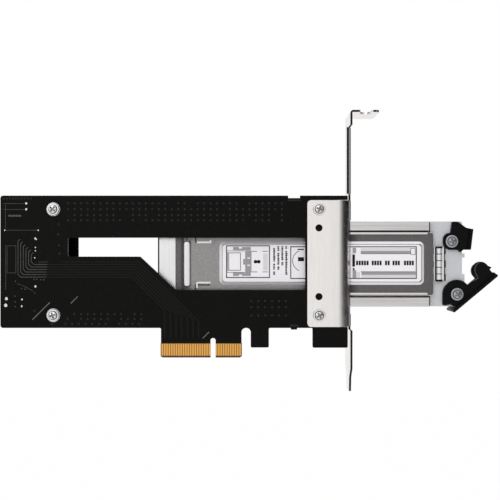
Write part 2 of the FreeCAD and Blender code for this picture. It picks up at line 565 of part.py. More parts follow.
def hinge_steps(piece, first, leaf):
    """Adds every second knuckle to a hinge leaf: each one wraps the pin and joins the leaf."""
    for number in range(first, 5, 2):
        low = f"({HINGE_LOW} + hinge_gap/2 + {number}*hinge_pitch)"
        high = f"({low} + hinge_pitch - hinge_gap)"
        piece.pad("XY", low, high, circles=[("hinge_place", HINGE_LEVEL, "hinge_radius")])
        piece.pad("XY", low, high, [leaf])
    piece.pocket("XY", HINGE_LOW, HINGE_HIGH, circles=[("hinge_place", HINGE_LEVEL, "hinge_pin")])


def tray_cover():
    """The stamped cover: folded lips, a raised plateau, a stiffening rib, slits and hinge knuckles."""
    cover = Piece("tray_cover")
    low, high = f"({TRAY_MIDDLE} - {COVER_HALF})", f"({TRAY_MIDDLE} + {COVER_HALF})"
    back = f"({COVER_NEAR} + cover_sheet)"
    sheet = [("cover_left", low), ("cover_right", low, "cover_corner"),
             ("cover_right", high, "cover_corner"), ("cover_left", high)]
    cover.pad("XZ", COVER_NEAR, back, [sheet])
    lip_right = "cover_right - 2*cover_corner"
    cover.pad("XZ", back, f"({back} + cover_lip)", [
        box_loop("cover_left", lip_right, low, f"{low} + cover_sheet"),
        box_loop("cover_left", lip_right, f"{high} - cover_sheet", high)])
    cover.ease("Fillet", "cover_round", lambda middle, edge: near(middle.y, COVER_NEAR) and (
        near(middle.z, low) or near(middle.z, high)))
    plateau = box_loop("plateau_left", "plateau_right", f"{PLATEAU_MIDDLE} - plateau_width/2",
                       f"{PLATEAU_MIDDLE} + plateau_width/2", "plateau_corner")
    cover.emboss(COVER_NEAR, back, "plateau_rise", "plateau_slope", plateau)
    rib = box_loop("rib_left", "rib_left + rib_width", f"{low} + rib_inset_low",
                   f"{high} - rib_inset_high", "rib_width*full_round/2")
    cover.emboss(COVER_NEAR, back, "rib_rise", "rib_slope", rib)
    slits = []
    for start, sign in ((f"{low} + slit_inset_low", "+"), (f"{high} - slit_inset_high", "-")):
        outer = "-" if sign == "+" else "+"
        slits.append([
            ("slit_left", f"{start} {outer} slit_leg"),
            ("slit_left + slit_width", f"{start} {outer} slit_leg"),
            ("slit_left + slit_width", start), ("slit_right", start),
            ("slit_right", f"{start} {sign} slit_width"),
            ("slit_left", f"{start} {sign} slit_width", "slit_width")])
    cover.pocket("XZ", COVER_NEAR, back, slits)
    front, under = f"({COVER_NEAR} + hinge_drop)", f"({back} + hinge_drop)"
    hinge_steps(cover, 0, [
        ("cover_right - cover_sheet", COVER_NEAR), ("cover_right", COVER_NEAR), ("cover_right", front),
        ("hinge_place", front), ("hinge_place", under), ("cover_right - cover_sheet", under)])


def sheet_goods():
    """The label on the plateau and the heat pad under it."""
    label = Piece("cover_label")
    top = f"({COVER_NEAR} - plateau_rise)"
    half = "(plateau_width/2 - label_edge)"
    label.pad("XZ", f"({top} - label_skin)", top, [box_loop(
        "plateau_left + label_edge", "plateau_right - label_edge", f"{PLATEAU_MIDDLE} - {half}",
        f"{PLATEAU_MIDDLE} + {half}", "label_corner")])
    pad = Piece("thermal_pad")
    under = f"({top} + cover_sheet)"
    pad.pad("XZ", under, f"({under} + pad_thick)", [box_loop(
        "pad_left", "pad_right", f"{PLATEAU_MIDDLE} - pad_width/2", f"{PLATEAU_MIDDLE} + pad_width/2")])


def cover_hinge_pin():
    """The pin through the knuckles of the cover and the front plate."""
    pin = Piece("cover_hinge_pin")
    pin.pad("XY", f"({HINGE_LOW} + hinge_gap)", f"({HINGE_HIGH} - hinge_gap)",
            circles=[("hinge_place", HINGE_LEVEL, "hinge_pin")])


def front_plate():
    """The moulded front of the tray: an open box with a hinge hatch, bosses and two end tabs."""
    plate = Piece("front_plate")
    low, high = TRAY_LOW, TRAY_HIGH
    tab = "plate_right + tooth_reach"
    outline = [
        ("plate_left", low), ("plate_right - chamfer_across", low),
        ("plate_right", f"{low} + chamfer_up"), ("plate_right", high, "plate_corner"),
        ("plate_left", high)]
    inside = [
        ("plate_left + plate_side", f"{low} + plate_side"),
        ("plate_right - chamfer_across - plate_side/2", f"{low} + plate_side"),
        ("plate_right - plate_side", f"{low} + chamfer_up + plate_side/2"),
        ("plate_right - plate_side", f"{high} - plate_side"),
        ("plate_left + plate_side", f"{high} - plate_side")]
    wall = f"({PLATE_NEAR} + plate_wall)"
    plate.pad("XZ", PLATE_NEAR, FLOOR, [outline])
    plate.pocket("XZ", wall, FLOOR, [inside])
    plate.pad("XZ", PLATE_NEAR, wall, [box_loop(
        "plate_right", tab, f"{TRAY_MIDDLE} + {name}_tooth_low", f"{TRAY_MIDDLE} + {name}_tooth_high")
        for name in ("upper", "lower")])
    pivots = [("lever_x", LEVER_Z), ("latch_x", LATCH_Z)]
    plate.pad("XZ", wall, FLOOR, circles=[(x, z, "boss_radius") for x, z in pivots])
    plate.pocket("XZ", PLATE_NEAR, wall, [box_loop(
        "cover_right", "hatch_right", HINGE_LOW, HINGE_HIGH)])
    hinge_steps(plate, 1, box_loop("hinge_place", "hatch_right", PLATE_NEAR,
                                   f"{HINGE_LEVEL} + hinge_radius"))
    plate.pocket("XZ", PLATE_NEAR, f"({PLATE_NEAR} + pivot_length - arm_thick)",
                 circles=[(x, z, "pivot_radius") for x, z in pivots])


def drive_standoff():
    """The threaded post and the screw that hold the drive's free end."""
    post = Piece("drive_standoff")
    top = f"({FLOOR} - standoff_level)"
    post.pad("XZ", top, FLOOR, circles=[("standoff_place", TRAY_MIDDLE, "standoff_radius")])
    post.pocket("XZ", top, f"({top} + standoff_deep)",
                circles=[("standoff_place", TRAY_MIDDLE, "standoff_bore")])


def pivot_screws():
    """The screws on which the lever and the latch turn."""
    for label, x, z in (("lever_screw", "lever_x", LEVER_Z), ("latch_screw", "latch_x", LATCH_Z)):
        cross_screws(label, [(x, z)], f"({ARM_NEAR} - head_gap)", "pivot_radius", "pivot_head",
                     "pivot_head_thick", "(pivot_length + head_gap + arm_gap)")


def latch_spring():
    """The latch's return spring: a close-wound coil round its boss, inside the front plate."""
    spring = Piece("latch_spring")
    wall = f"({PLATE_NEAR} + plate_wall)"
    for turn in range(int(value("spring_turns"))):
        low = f"({wall} + {turn}*spring_wire)"
        spring.pad("XZ", low, f"({low} + spring_wire)", circles=[
            ("latch_x", LATCH_Z, "boss_radius + spring_wire"), ("latch_x", LATCH_Z, "boss_radius")])


# ---- lever and latch ----

def ejector_lever():
    """The ejector: an eye and arm on the front plate, a catch, a toe, and the tray's outer face."""
    lever = Piece("ejector_lever")
    inner = "(lever_face - face_thick)"
    crest, gap, ramp = f"{REACH} - crest_drop", f"{REACH} - gap_drop", f"{REACH} - ramp_drop"
    knob = f"(knob_share*{REACH})"
    knob_left, knob_low = f"-knob_x - {knob}", f"{ramp} - knob_play - 2*{knob}"
    outline = [
        ("lever_face", "-face_low", "face_round"), ("lever_face", crest, "face_round"),
        ("crest_x", crest, "face_round"), ("gap_right", gap), ("gap_left", gap),
        ("catch_x", f"{REACH} - catch_drop", "catch_round"), ("-ramp_x", ramp, f"{knob}/3"),
        (knob_left, f"{ramp} - knob_play", f"{knob}*full_round"),
        (knob_left, knob_low, f"{knob}*full_round"),
        ("-neck_x", knob_low, "neck_x"), ("-neck_x", "lever_eye", "neck_x"),
        ("-lever_eye", "lever_eye", "lever_eye*full_round"), ("-lever_eye", "-heel_drop", "lever_eye"),
        ("-toe_x", "-toe_z", "face_round"), ("toe_back", "-toe_up", "face_round/2"),
        ("sole_x", "-sole_z", "face_round/2"), (inner, f"-{inner}", "face_round/2"),
        (inner, "-face_low", "face_round/2")]
    lever.pad("XZ", ARM_NEAR, ARM_FAR, [outline], [("0", "0", "pivot_radius + pivot_play")])
    lever.pad("XZ", "tray_near + face_near", TRAY_FAR, [
        box_loop(inner, "lever_face", "-face_low", crest, "face_round")])
    lever.place("lever_x", LEVER_Z, "lever_open")


def release_latch():
    """The latch: an eye, a hook over the lever's catch, and a button face as deep as the tray."""
    latch = Piece("release_latch")
    outline = [
        ("latch_top_left", "latch_top", "face_round"), ("latch_top_right", "latch_top", "2*face_round"),
        ("shoulder_x", "shoulder_z", "4*face_round"), ("button_x", "button_z", "face_round/2"),
        ("button_foot", "-latch_bottom", "face_round/2"), ("hook_root", "-latch_bottom"),
        ("hook_right", "-hook_drop"), ("hook_left", "-hook_drop"), ("hook_heel", "-latch_eye"),
        ("-latch_eye", "-latch_eye", "latch_eye*full_round"),
        ("-latch_eye", "latch_eye", "latch_eye*0.8"), ("-face_round", "latch_eye", "face_round")]
    latch.pad("XZ", ARM_NEAR, ARM_FAR, [outline], [("0", "0", "pivot_radius + pivot_play")])
    latch.pad("XZ", "tray_near + face_near", TRAY_FAR, [[
        ("button_x", "button_z", "face_round/2"), ("button_foot", "-latch_bottom", "face_round/2"),
        ("button_foot - face_thick", "-latch_bottom"), ("button_x - face_thick", "button_z")]])
    latch.place("latch_x", LATCH_Z)


def write_parts():
    """Checks every object, then writes each sub-part to its own file."""
    doc.recompute()
    for item in doc.Objects:
        if any(word in state for state in item.State for word in ("Invalid", "Error")):
            raise RuntimeError(f"{item.Name} ({item.Label}) failed")
    os.makedirs("parts", exist_ok=True)
    for item in PARTS:
        if item.Shape.isNull() or not item.Shape.isValid():
            raise RuntimeError(f"{item.Label} has no valid shape")
        item.Shape.exportStep(f"parts/{item.Label}.step")
        box = item.Shape.BoundBox
        print(f"{item.Label:22s} solids {len(item.Shape.Solids):3d}  volume {item.Shape.Volume:9.2f}  "
              f"x {box.XMin:7.2f} {box.XMax:7.2f}  y {box.YMin:6.2f} {box.YMax:6.2f}  "
              f"z {box.ZMin:6.2f} {box.ZMax:6.2f}")


circuit_board()
edge_contacts()
slot_bracket()
guide_rail("upper_guide_rail", 1)
guide_rail("lower_guide_rail", -1)
end_bridge()
drive_socket()
chip_row("coupler", f"(contact_top + {RAIL_LOW})/2")
chip_row("supply", f"({TRAY_MIDDLE} + window_step - window_below/2)")
card_screws()
tray_base()
tray_end_shield()
tray_cover()
sheet_goods()
cover_hinge_pin()
front_plate()
drive_standoff()
pivot_screws()
latch_spring()
ejector_lever()
release_latch()
write_parts()
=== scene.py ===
"""Finish of an expansion card with a removable drive tray.

Every piece lies in the card's own frame: +X leaves the computer through the slot bracket, +Z is up, and
the solder side looks along -Y.
"""
import json
import math

import bmesh
import bpy
import numpy as np
from bpy.props import FloatProperty, FloatVectorProperty, IntProperty, PointerProperty
from mathutils import Euler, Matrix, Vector

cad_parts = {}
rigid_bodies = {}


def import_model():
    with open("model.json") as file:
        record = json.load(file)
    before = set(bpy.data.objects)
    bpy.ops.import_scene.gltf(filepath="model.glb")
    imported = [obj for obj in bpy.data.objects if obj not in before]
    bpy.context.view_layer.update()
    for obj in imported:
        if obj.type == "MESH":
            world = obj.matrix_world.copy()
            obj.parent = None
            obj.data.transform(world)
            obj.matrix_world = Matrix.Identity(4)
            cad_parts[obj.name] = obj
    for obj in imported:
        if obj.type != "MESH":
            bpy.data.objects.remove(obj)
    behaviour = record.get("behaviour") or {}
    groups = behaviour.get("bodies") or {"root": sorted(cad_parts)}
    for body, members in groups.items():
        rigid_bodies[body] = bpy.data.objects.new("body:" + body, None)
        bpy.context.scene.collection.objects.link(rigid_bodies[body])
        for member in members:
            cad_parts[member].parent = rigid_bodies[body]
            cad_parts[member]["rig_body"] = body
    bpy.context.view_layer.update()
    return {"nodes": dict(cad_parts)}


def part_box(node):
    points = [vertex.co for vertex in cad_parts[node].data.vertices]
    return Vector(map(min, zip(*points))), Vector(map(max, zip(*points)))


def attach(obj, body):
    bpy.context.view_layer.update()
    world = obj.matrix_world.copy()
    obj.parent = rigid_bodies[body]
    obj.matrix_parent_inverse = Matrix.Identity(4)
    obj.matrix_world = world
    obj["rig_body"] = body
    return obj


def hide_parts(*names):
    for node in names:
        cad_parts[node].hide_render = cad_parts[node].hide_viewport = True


bl_info = {
    "name": "Drive Tray Card",
    "version": (1, 0, 0),
    "blender": (4, 5, 0),
    "location": "View3D > Sidebar > Tray Card",
    "description": "Builds the finish of an expansion card with a removable drive tray",
    "category": "Object",
}

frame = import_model()

MM = 0.001
LABEL_LOW, LABEL_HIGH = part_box("cover_label")
BOARD_LOW, BOARD_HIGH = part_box("circuit_board")
COVER_LOW, COVER_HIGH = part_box("tray_cover")
PLATE_LOW, PLATE_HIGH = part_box("front_plate")
SHARP = math.radians(32)
FLAT = math.radians(0.4)
MERGE = 2e-6

# Level of the studio's wall by the angle round Z from the card's near side, in degrees towards +X
STUDIO_WALL = ((-140, 0.9), (-115, 0.6), (-95, 0.3), (-75, 0.12), (-55, 0.35), (-38, 0.8),
               (-20, 1.0), (0, 0.97), (9, 0.96), (15, 0.84), (21, 0.62), (28, 0.44), (35, 0.28),
               (42, 0.12), (49, 0.035), (58, 0.01), (70, 0.005), (104, 0.005), (113, 0.08),
               (124, 0.33), (142, 0.75), (160, 0.9))

# Painted shade along the cover, by its place along X in millimetres, as a share of its colour: darker at
# its left end, beside the rib, in a painted shadow beside the bracket's opening, and towards the hinge
COVER_PAINTED_SHADE = ((-15.9, 0.45), (-14.3, 0.45), (-13.5, 0.2), (-12.9, 0.2), (-10.0, 0.6), (-9.2, 1.0),
              (32.0, 1.0), (56.0, 0.12), (59.5, 0.2), (62.5, 0.46), (80.0, 0.48))

# Red, green and blue shares of each level of that painted shade
WARMTH = (1.0, 0.985, 0.97)

# Range of the normal's part along Y over which the cover's sheet counts as turning away and takes the painted
# highlight
COVER_TURN = (-0.97, -0.8)

# Shader effects: a scale multiplies the place in metres, and colours are linear light
CLOUD_SCALE = 60.0
FINE_CLOUD_SCALE = 420.0
CLOUD_RANGE = (0.14, 0.38)
BUMP_STRENGTH = 0.5
WEAVE_SCALE = 2400.0
CORE_DARK = (0.010, 0.008, 0.006)
CORE_PALE = (0.030, 0.024, 0.015)
CERAMIC = (0.23, 0.17, 0.11)
HEAT_PAD = (0.30, 0.33, 0.36)

# A strip's mitre never reaches further than half its width over this
MITRE_LEAST = 0.3

# Profile of a screw, each as (radius, level): the step from the crown as shares of the crown's radius and
# of the rim's level, and the rim as shares of the head's radius and of the rim's level
CROWN_STEP = ((1.03, 1.25), (1.06, 0.8), (1.14, 0.86), (1.2, 1.0))
RIM_STEP = ((0.95, 0.96), (0.99, 0.8), (1.0, 0.5), (1.0, 0.0))

# Painted shade in the groove between two shares of the crown's radius, and a painted contact shadow on the
# rim's wall past a share of the head's radius
GROOVE_SPAN = (1.01, 1.22)
GROOVE_EDGE = 0.97

# Shares of a screw's head: the crown's fall towards its rim, and the cross's reach, half width and depth
CROWN_FALL = 0.16
CROSS_REACH = 0.5
CROSS_HALF = 0.115
CROSS_DEPTH = 0.5
CROSS_EASE = 0.06 * MM
SCREW_STEPS = 72
DOME_STEPS = 22

# Points round the other turned shapes, and points along the curved ones
VIA_SIDES = 12
POINT_SIDES = 20
GAP_SHADE_SIDES = 32
LAND_SIDES = 48
RIM_POINTS = 24
ARC_POINTS = 40
RIB_POINTS = (81, 25)

# Shares of the vias and of the label's small marks that are drawn
VIA_SHARE = 0.9
MARK_SHARE = 0.88

# Round end of the lever: its middle from the piece's upper right corner, the radius of its painted highlight
# line, and the points by which that line goes on along the arm, all in metres
KNOB_INSET = (0.0062, 0.0035)
KNOB_HIGHLIGHT_RADIUS = 0.0037
ARM_POINTS = ((-0.0024, -0.0034), (-0.0032, -0.0041), (-0.0054, -0.0051))

# Stage: places, the floor's level and the lamp's size are in metres, the lens and the sensor in millimetres
# and the power in watts. Tones and light are shares of white, and the ceiling's heights are the part along
# Z of a ray's direction between which the wall eases into the ceiling
CAMERA_PLACE = (0.0157, -0.341, 0.0457)
FOCAL_LENGTH = 57.7
SENSOR_WIDTH = 36.0
LAMP_PLACE = (-0.55, -0.75, 0.65)
LAMP_AIM = (0.015, 0, 0.045)
LAMP_SIZE = 1.1
LAMP_POWER = 3.0
FLOOR_LEVEL = -0.2
FLOOR_TONE = 0.86
FLOOR_SEEN = 0.97
CEILING_LEVEL = 1.15
CEILING_HEIGHTS = (0.35, 0.8)


# ---- sizes and colours ----

def length(name, description, default):
    """A length in metres, with no limit but zero."""
    return FloatProperty(name=name, description=description, default=default, min=0.0, precision=5,
                         subtype="DISTANCE", unit="LENGTH")


def shade(name, red, green, blue):
    """A colour, given as the display values 0 to 255 and kept as linear light."""
    levels = [value / 255 for value in (red, green, blue)]
    linear = [v / 12.92 if v <= 0.04045 else ((v + 0.055) / 1.055) ** 2.4 for v in levels]
    return FloatVectorProperty(name=name, description=f"Colour: {name.lower()}", default=linear,
                               size=3, min=0.0, max=1.0, subtype="COLOR")


class TrayCardSizes(bpy.types.PropertyGroup):
    """Lengths of the details that the finish adds."""
    press_edge: length("Press edge", "Rounding of the pressed forms of the cover", 0.0003)
    plateau_rise: length("Plateau rise", "Height of the cover's plateau over its sheet", 0.0008)
    slot_width: length("Slot width", "Width of the slot before the knuckles", 0.0010)
    hatch_inset: length("Hatch inset", "Distance of the hinge hatch from the front plate's tabs", 0.008)
    hinge_reach: length("Hinge reach", "How far the hinge stands out from the cover's edge", 0.0038)
    knuckle_radius: length("Knuckle radius", "Outer radius of the hinge's knuckles", 0.0013)
    # The tongues' beads named in these descriptions are painted highlights along the tongues' edges
    tongue_left: FloatProperty(name="Tongue start", description="Left end of the spring tongues' beads",
                               default=-0.0071, precision=5, unit="LENGTH")
    tongue_right: FloatProperty(name="Tongue end", description="Right end of the spring tongues' beads",
                                default=-0.0013, precision=5, unit="LENGTH")
    tongue_levels: FloatVectorProperty(name="Tongue levels", description="Heights of the tongues' beads",
                                       default=(0.0317, 0.0490), size=2, precision=5, unit="LENGTH")
    rib_middle: FloatProperty(name="Rib place", description="Place of the rib's middle line",
                              default=-0.0113, precision=5, unit="LENGTH")
    rib_width: length("Rib width", "Width of the rib's crown", 0.0031)
    rib_rise: length("Rib rise", "Height of the rib's crown over the sheet", 0.00064)
    rib_inset: length("Rib inset", "Distance of the rib's ends from the cover's folds", 0.0037)
    # Width of the painted shade along the end shield's left edge
    shield_edge: length("Shield edge", "Width of the end shield's dark hem", 0.0006)
    # Width of the painted shade in the seam between the tray's walls and its front
    rail_joint: length("Rail joint", "Width of the joint between the tray's walls and its front", 0.0004)
    bracket_sheet: length("Bracket sheet", "Thickness of the slot bracket", 0.0009)
    bracket_gap: length("Bracket gap", "Distance from the board's end to the bracket's sheet", 0.001)
    # Width of the painted highlight strips along the cover's folds
    fold_width: length("Fold width", "Width of the cover's polished folds", 0.0008)
    # Width of the painted shade in the joint between the cover and the tray's wall
    fold_joint: length("Fold joint", "Width of the joint between the cover and the tray's wall", 0.0006)
    # Width of the painted highlight along the spring tongues
    tongue_highlight: length("Tongue bead", "Width of the bead along the spring tongues", 0.0007)
    # Width of the painted shade strips beside the hinge
    hinge_shade_width: length("Seal width", "Width of the dark joints beside the hinge", 0.0006)
    # Thickness of the discs of painted shade between the knuckles
    gap_shade_thick: length("Washer thickness", "Thickness of the washers between the knuckles", 0.00034)
    sheet_edge: length("Sheet edge", "Rounding of the folded sheets' cut edges", 0.00012)
    moulded_edge: length("Moulded edge", "Rounding of the moulded pieces' edges", 0.00022)
    trace_width: length("Trace width", "Width of one copper trace", 0.00026)
    trace_rise: length("Trace rise", "How far a trace lifts the solder mask", 0.00003)
    trace_pitch: length("Trace pitch", "Distance between the traces of the drive's bus", 0.00113)
    via_radius: length("Via radius", "Radius of a covered via", 0.00034)
    point_radius: length("Point radius", "Radius of a tinned test point", 0.00042)
    land_radius: length("Land radius", "Outer radius of the tinned land under a screw", 0.00285)
    land_hole: length("Land hole", "Inner radius of the tinned land under a screw", 0.00165)
    crown_share: FloatProperty(name="Crown share", description="Radius of a screw's crown over its head's",
                               default=0.62, min=0.3, max=0.95)
    flange_share: FloatProperty(name="Flange share", description="Level of a screw's rim over its head's",
                                default=0.5, min=0.1, max=0.9)
    contact_margin: length("Contact margin", "Bare core round the row of contacts", 0.0004)
    key_half: length("Key half", "Half the width of the key notch", 0.0011)
    head_thick: length("Head thickness", "Height of a card screw's head", 0.0017)
    pivot_head_thick: length("Pivot head thickness", "Height of a pivot screw's head", 0.0012)
    small_head_thick: length("Small head thickness", "Height of a bridge screw's head", 0.0011)
    shank_share: FloatProperty(name="Shank share", description="Radius of a screw's shank over its head's",
                               default=0.46, min=0.2, max=0.9)
    small_shank_share: FloatProperty(name="Small shank share", default=0.33, min=0.2, max=0.9,
                                     description="Radius of a bridge screw's shank over its head's")
    print_rise: length("Print rise", "Thickness of one layer of the label's print", 0.00001)
    line_width: length("Line width", "Width of the label's outlines", 0.00042)
    word_width: length("Word width", "Height of the label's small rows of marks", 0.0008)
    seed: IntProperty(name="Seed", description="Start of the random numbers", default=7, min=0)


class TrayCardColours(bpy.types.PropertyGroup):
    """Colours of the finishes."""
    mask_dark: shade("Mask dark", 14, 13, 12)
    mask_light: shade("Mask light", 21, 20, 18)
    # Also the painted highlight round the lever's round end
    mask_edge: shade("Mask edge", 70, 70, 68)
    via: shade("Covered via", 38, 36, 33)
    silk: shade("Board print", 104, 104, 102)
    gold: shade("Gold", 229, 170, 88)
    core: shade("Bare core", 122, 84, 40)
    # Painted shade on the bracket's cut edge and top, and along the end shield's left edge
    edge_shade: shade("Cut edge", 20, 19, 19)
    zinc: shade("Zinc steel", 236, 232, 230)
    steel: shade("Screw steel", 222, 221, 222)
    aluminium: shade("Aluminium", 212, 208, 208)
    shield: shade("End shield", 228, 228, 228)
    # Painted highlight on the cover's folds, where its sheet turns away from the near side
    cover: shade("Cover", 148, 146, 147)
    bend: shade("Bend highlight", 214, 208, 206)
    # Painted highlight on the walls of the cover's plateau
    wall: shade("Plateau wall", 246, 244, 246)
    # Painted highlight on the rib's crown, along the cover's folds and along the tongues' edges
    rib: shade("Rib highlight", 226, 224, 224)
    pivot: shade("Pivot steel", 168, 171, 177)
    # Painted shade in the screws' cross recess, and in their groove and on their rim's wall
    recess: shade("Screw recess", 146, 145, 146)
    ring: shade("Screw ring", 84, 83, 83)
    joint: shade("Joint shade", 20, 19, 19)
    knuckle: shade("Hinge steel", 232, 231, 231)
    label: shade("Label", 248, 245, 248)
    ink: shade("Ink", 24, 23, 25)
    line_ink: shade("Line ink", 72, 70, 72)
    grey_ink: shade("Grey ink", 160, 157, 161)
    light_ink: shade("Light ink", 222, 219, 223)
    plate: shade("Plate plastic", 204, 205, 208)
    black: shade("Black plastic", 14, 14, 14)


def sizes():
    return bpy.context.scene.tray_card_sizes


def colours():
    return bpy.context.scene.tray_card_colours


# ---- shared effects ----

def new_group(name, inputs, outputs):
    """An empty node group with its named sockets and its two end nodes."""
    group = bpy.data.node_groups.new(name, "ShaderNodeTree")
    for label, kind, default in inputs:
        socket = group.interface.new_socket(label, in_out="INPUT", socket_type=kind)
        if default is not None:
            socket.default_value = default
    for label, kind in outputs:
        group.interface.new_socket(label, in_out="OUTPUT", socket_type=kind)
    return group, group.nodes.new("NodeGroupInput"), group.nodes.new("NodeGroupOutput")


def feed(tree, socket, value):
    """Links an input to another node's output, or sets it to a value."""
    if isinstance(value, bpy.types.NodeSocket):
        tree.links.new(value, socket)
    else:
        socket.default_value = value


def add_node(tree, kind, inputs=None, **settings):
    """A shader node with its settings, and with inputs fed by their name or number."""
    node = tree.nodes.new(f"ShaderNode{kind}")
    for name, value in settings.items():
        setattr(node, name, value)
    for key, value in (inputs or {}).items():
        feed(tree, node.inputs[key], value)
    return node


def maths(tree, operation, *values, **settings):
    """The result of one operation on sockets and numbers."""
    return add_node(tree, "Math", dict(enumerate(values)), operation=operation, **settings).outputs[0]


def map_range(tree, value, source, target=(0.0, 1.0), **settings):
    """A value carried from one range to another."""
    ends = zip(("From Min", "From Max", "To Min", "To Max"), (*source, *target))
    return add_node(tree, "MapRange", {"Value": value, **dict(ends)}, **settings).outputs["Result"]


def separate(tree, vector, **settings):
    """The three parts of a vector."""
    return add_node(tree, "SeparateXYZ", {"Vector": vector}, **settings).outputs


def mix_colours(tree, mask, first, second):
    """A colour between two, by a mask."""
    mix = add_node(tree, "Mix", {"Factor": mask}, data_type="RGBA")
    for key, colour in (("A", first), ("B", second)):
        is_socket = isinstance(colour, bpy.types.NodeSocket)
        feed(tree, mix.inputs[key], colour if is_socket else (*colour, 1.0))
    return mix.outputs["Result"]


def grain_group():
    """Fine grain: fractal noise of the point times the scale, spread by the contrast about one half."""
    if "grain" in bpy.data.node_groups:
        return bpy.data.node_groups["grain"]
    group, start, end = new_group(
        "grain", [("Vector", "NodeSocketVector", None), ("Scale", "NodeSocketFloat", 1000.0),
                  ("Contrast", "NodeSocketFloat", 2.0)], [("Mask", "NodeSocketFloat")])
    given = start.outputs
    noise = add_node(group, "TexNoise", {"Vector": given["Vector"], "Scale": given["Scale"], "Detail": 4.0})
    centred = maths(group, "SUBTRACT", noise.outputs["Fac"], 0.5)
    mask = maths(group, "MULTIPLY_ADD", centred, given["Contrast"], 0.5, use_clamp=True)
    group.links.new(mask, end.inputs["Mask"])
    return group


def handling_group():
    """Handling marks: a broad cloud times a finer one, so that patches of the surface are duller."""
    if "handling" in bpy.data.node_groups:
        return bpy.data.node_groups["handling"]
    group, start, end = new_group(
        "handling", [("Vector", "NodeSocketVector", None), ("Scale", "NodeSocketFloat", CLOUD_SCALE)],
        [("Mask", "NodeSocketFloat")])
    given = start.outputs
    broad = add_node(group, "TexNoise", {"Vector": given["Vector"], "Scale": given["Scale"], "Detail": 2.0})
    finer = add_node(group, "TexNoise", {"Vector": given["Vector"], "Scale": FINE_CLOUD_SCALE})
    product = maths(group, "MULTIPLY", broad.outputs["Fac"], finer.outputs["Fac"])
    group.links.new(map_range(group, product, CLOUD_RANGE), end.inputs["Mask"])
    return group


def finish(name, colour, shift, rough, stretch=(1, 1, 1), scale=1500.0, contrast=2.0, metallic=0.0,
           specular=0.5, relief=0.00002):
    """A material. Grain drawn out by the stretch shifts the colour and lifts the surface by the relief.

    Handling marks carry the roughness from its first value to its second.
    """
    name = f"{name}_finish"
    if name in bpy.data.materials:
        return bpy.data.materials[name]
    material = bpy.data.materials.new(name)
    material.use_nodes = True
    tree = material.node_tree
    place = add_node(tree, "TexCoord").outputs["Object"]
    drawn = add_node(tree, "Mapping", {"Vector": place, "Scale": stretch}).outputs["Vector"]
    grain = add_node(tree, "Group", {"Vector": drawn, "Scale": scale, "Contrast": contrast},
                     node_tree=grain_group()).outputs["Mask"]
    handling = add_node(tree, "Group", {"Vector": place}, node_tree=handling_group()).outputs["Mask"]
    base = np.array(colour)
    tint = mix_colours(tree, grain, tuple(base * (1 - shift)), tuple(np.minimum(base * (1 + shift), 1)))
    bump = add_node(tree, "Bump", {"Strength": BUMP_STRENGTH, "Distance": relief, "Height": grain})
    for key, value in (("Base Color", tint), ("Metallic", metallic), ("Specular IOR Level", specular),
                       ("Roughness", map_range(tree, handling, (0.0, 1.0), rough)),
                       ("Normal", bump.outputs["Normal"])):
        feed(tree, shader_input(tree, key), value)
    return material


def shader_input(tree, key):
    """One input of a material's shader."""
    return tree.nodes["Principled BSDF"].inputs[key]


def shader_colour(tree):
    """The socket that now feeds a material's colour."""
    return shader_input(tree, "Base Color").links[0].from_socket


def matt_by_normal(tree, axis, turn, metallic):
    """Carries the metallic share from one value to the other as the normal's part along an axis turns."""
    if "turn" in tree.nodes:
        return
    normal = separate(tree, add_node(tree, "TexCoord").outputs["Normal"], name="turn")
    feed(tree, shader_input(tree, "Metallic"), map_range(tree, normal[axis], turn, metallic))


# ---- finishes of the card ----

def solder_mask():
    """Solder mask on the two faces, and the bare woven core on the cut edges, told by the normal.

    The mask's share is the square of the normal's part along Y.
    """
    material = finish("solder_mask", colours().mask_dark, 0.3, (0.34, 0.5), scale=900.0, specular=0.06,
                      relief=0.00001)
    tree = material.node_tree
    if "core" in tree.nodes:
        return material
    place = add_node(tree, "TexCoord").outputs
    share = maths(tree, "POWER", separate(tree, place["Normal"], name="core")["Y"], 2.0)
    weave = add_node(tree, "TexWave", {"Vector": place["Object"], "Scale": WEAVE_SCALE, "Distortion": 3.0},
                     bands_direction="Y")
    core = mix_colours(tree, weave.outputs["Fac"], CORE_DARK, CORE_PALE)
    mixed = mix_colours(tree, share, core, shader_colour(tree))
    feed(tree, shader_input(tree, "Base Color"), mixed)
    return material


def raised_mask():
    return finish("raised_mask", colours().mask_light, 0.2, (0.3, 0.45), scale=900.0, specular=0.12)


def via_mask():
    return finish("via_mask", colours().via, 0.3, (0.3, 0.45), scale=900.0, specular=0.15)


def mask_edge():
    return finish("mask_edge", colours().mask_edge, 0.3, (0.3, 0.45), scale=900.0, specular=0.2)


def board_print():
    return finish("board_print", colours().silk, 0.3, (0.5, 0.65), scale=1800.0, specular=0.1)


def gold():
    return finish("gold", colours().gold, 0.08, (0.26, 0.4), (1, 1, 0.12), 2600.0, metallic=1.0)


def bare_core():
    return finish("bare_core", colours().core, 0.25, (0.45, 0.6), scale=1800.0, specular=0.2)


def zinc_steel():
    """Polished zinc; the faces that look out of the computer, told by the normal, are less metallic."""
    material = finish("zinc_steel", colours().zinc, 0.03, (0.22, 0.26), (1, 1, 0.06), 1400.0,
                      metallic=1.0, relief=0.000006)
    matt_by_normal(material.node_tree, "X", (0.9, 0.99), (1.0, 0.3))
    return material


def screw_steel():
    return finish("screw_steel", colours().steel, 0.06, (0.24, 0.36), scale=1800.0, metallic=1.0)


def pivot_steel():
    return finish("pivot_steel", colours().pivot, 0.08, (0.28, 0.4), scale=1800.0, metallic=1.0)


def screw_recess_shade():
    return finish("screw_recess_shade", colours().recess, 0.2, (0.35, 0.5), scale=2400.0, metallic=0.8)


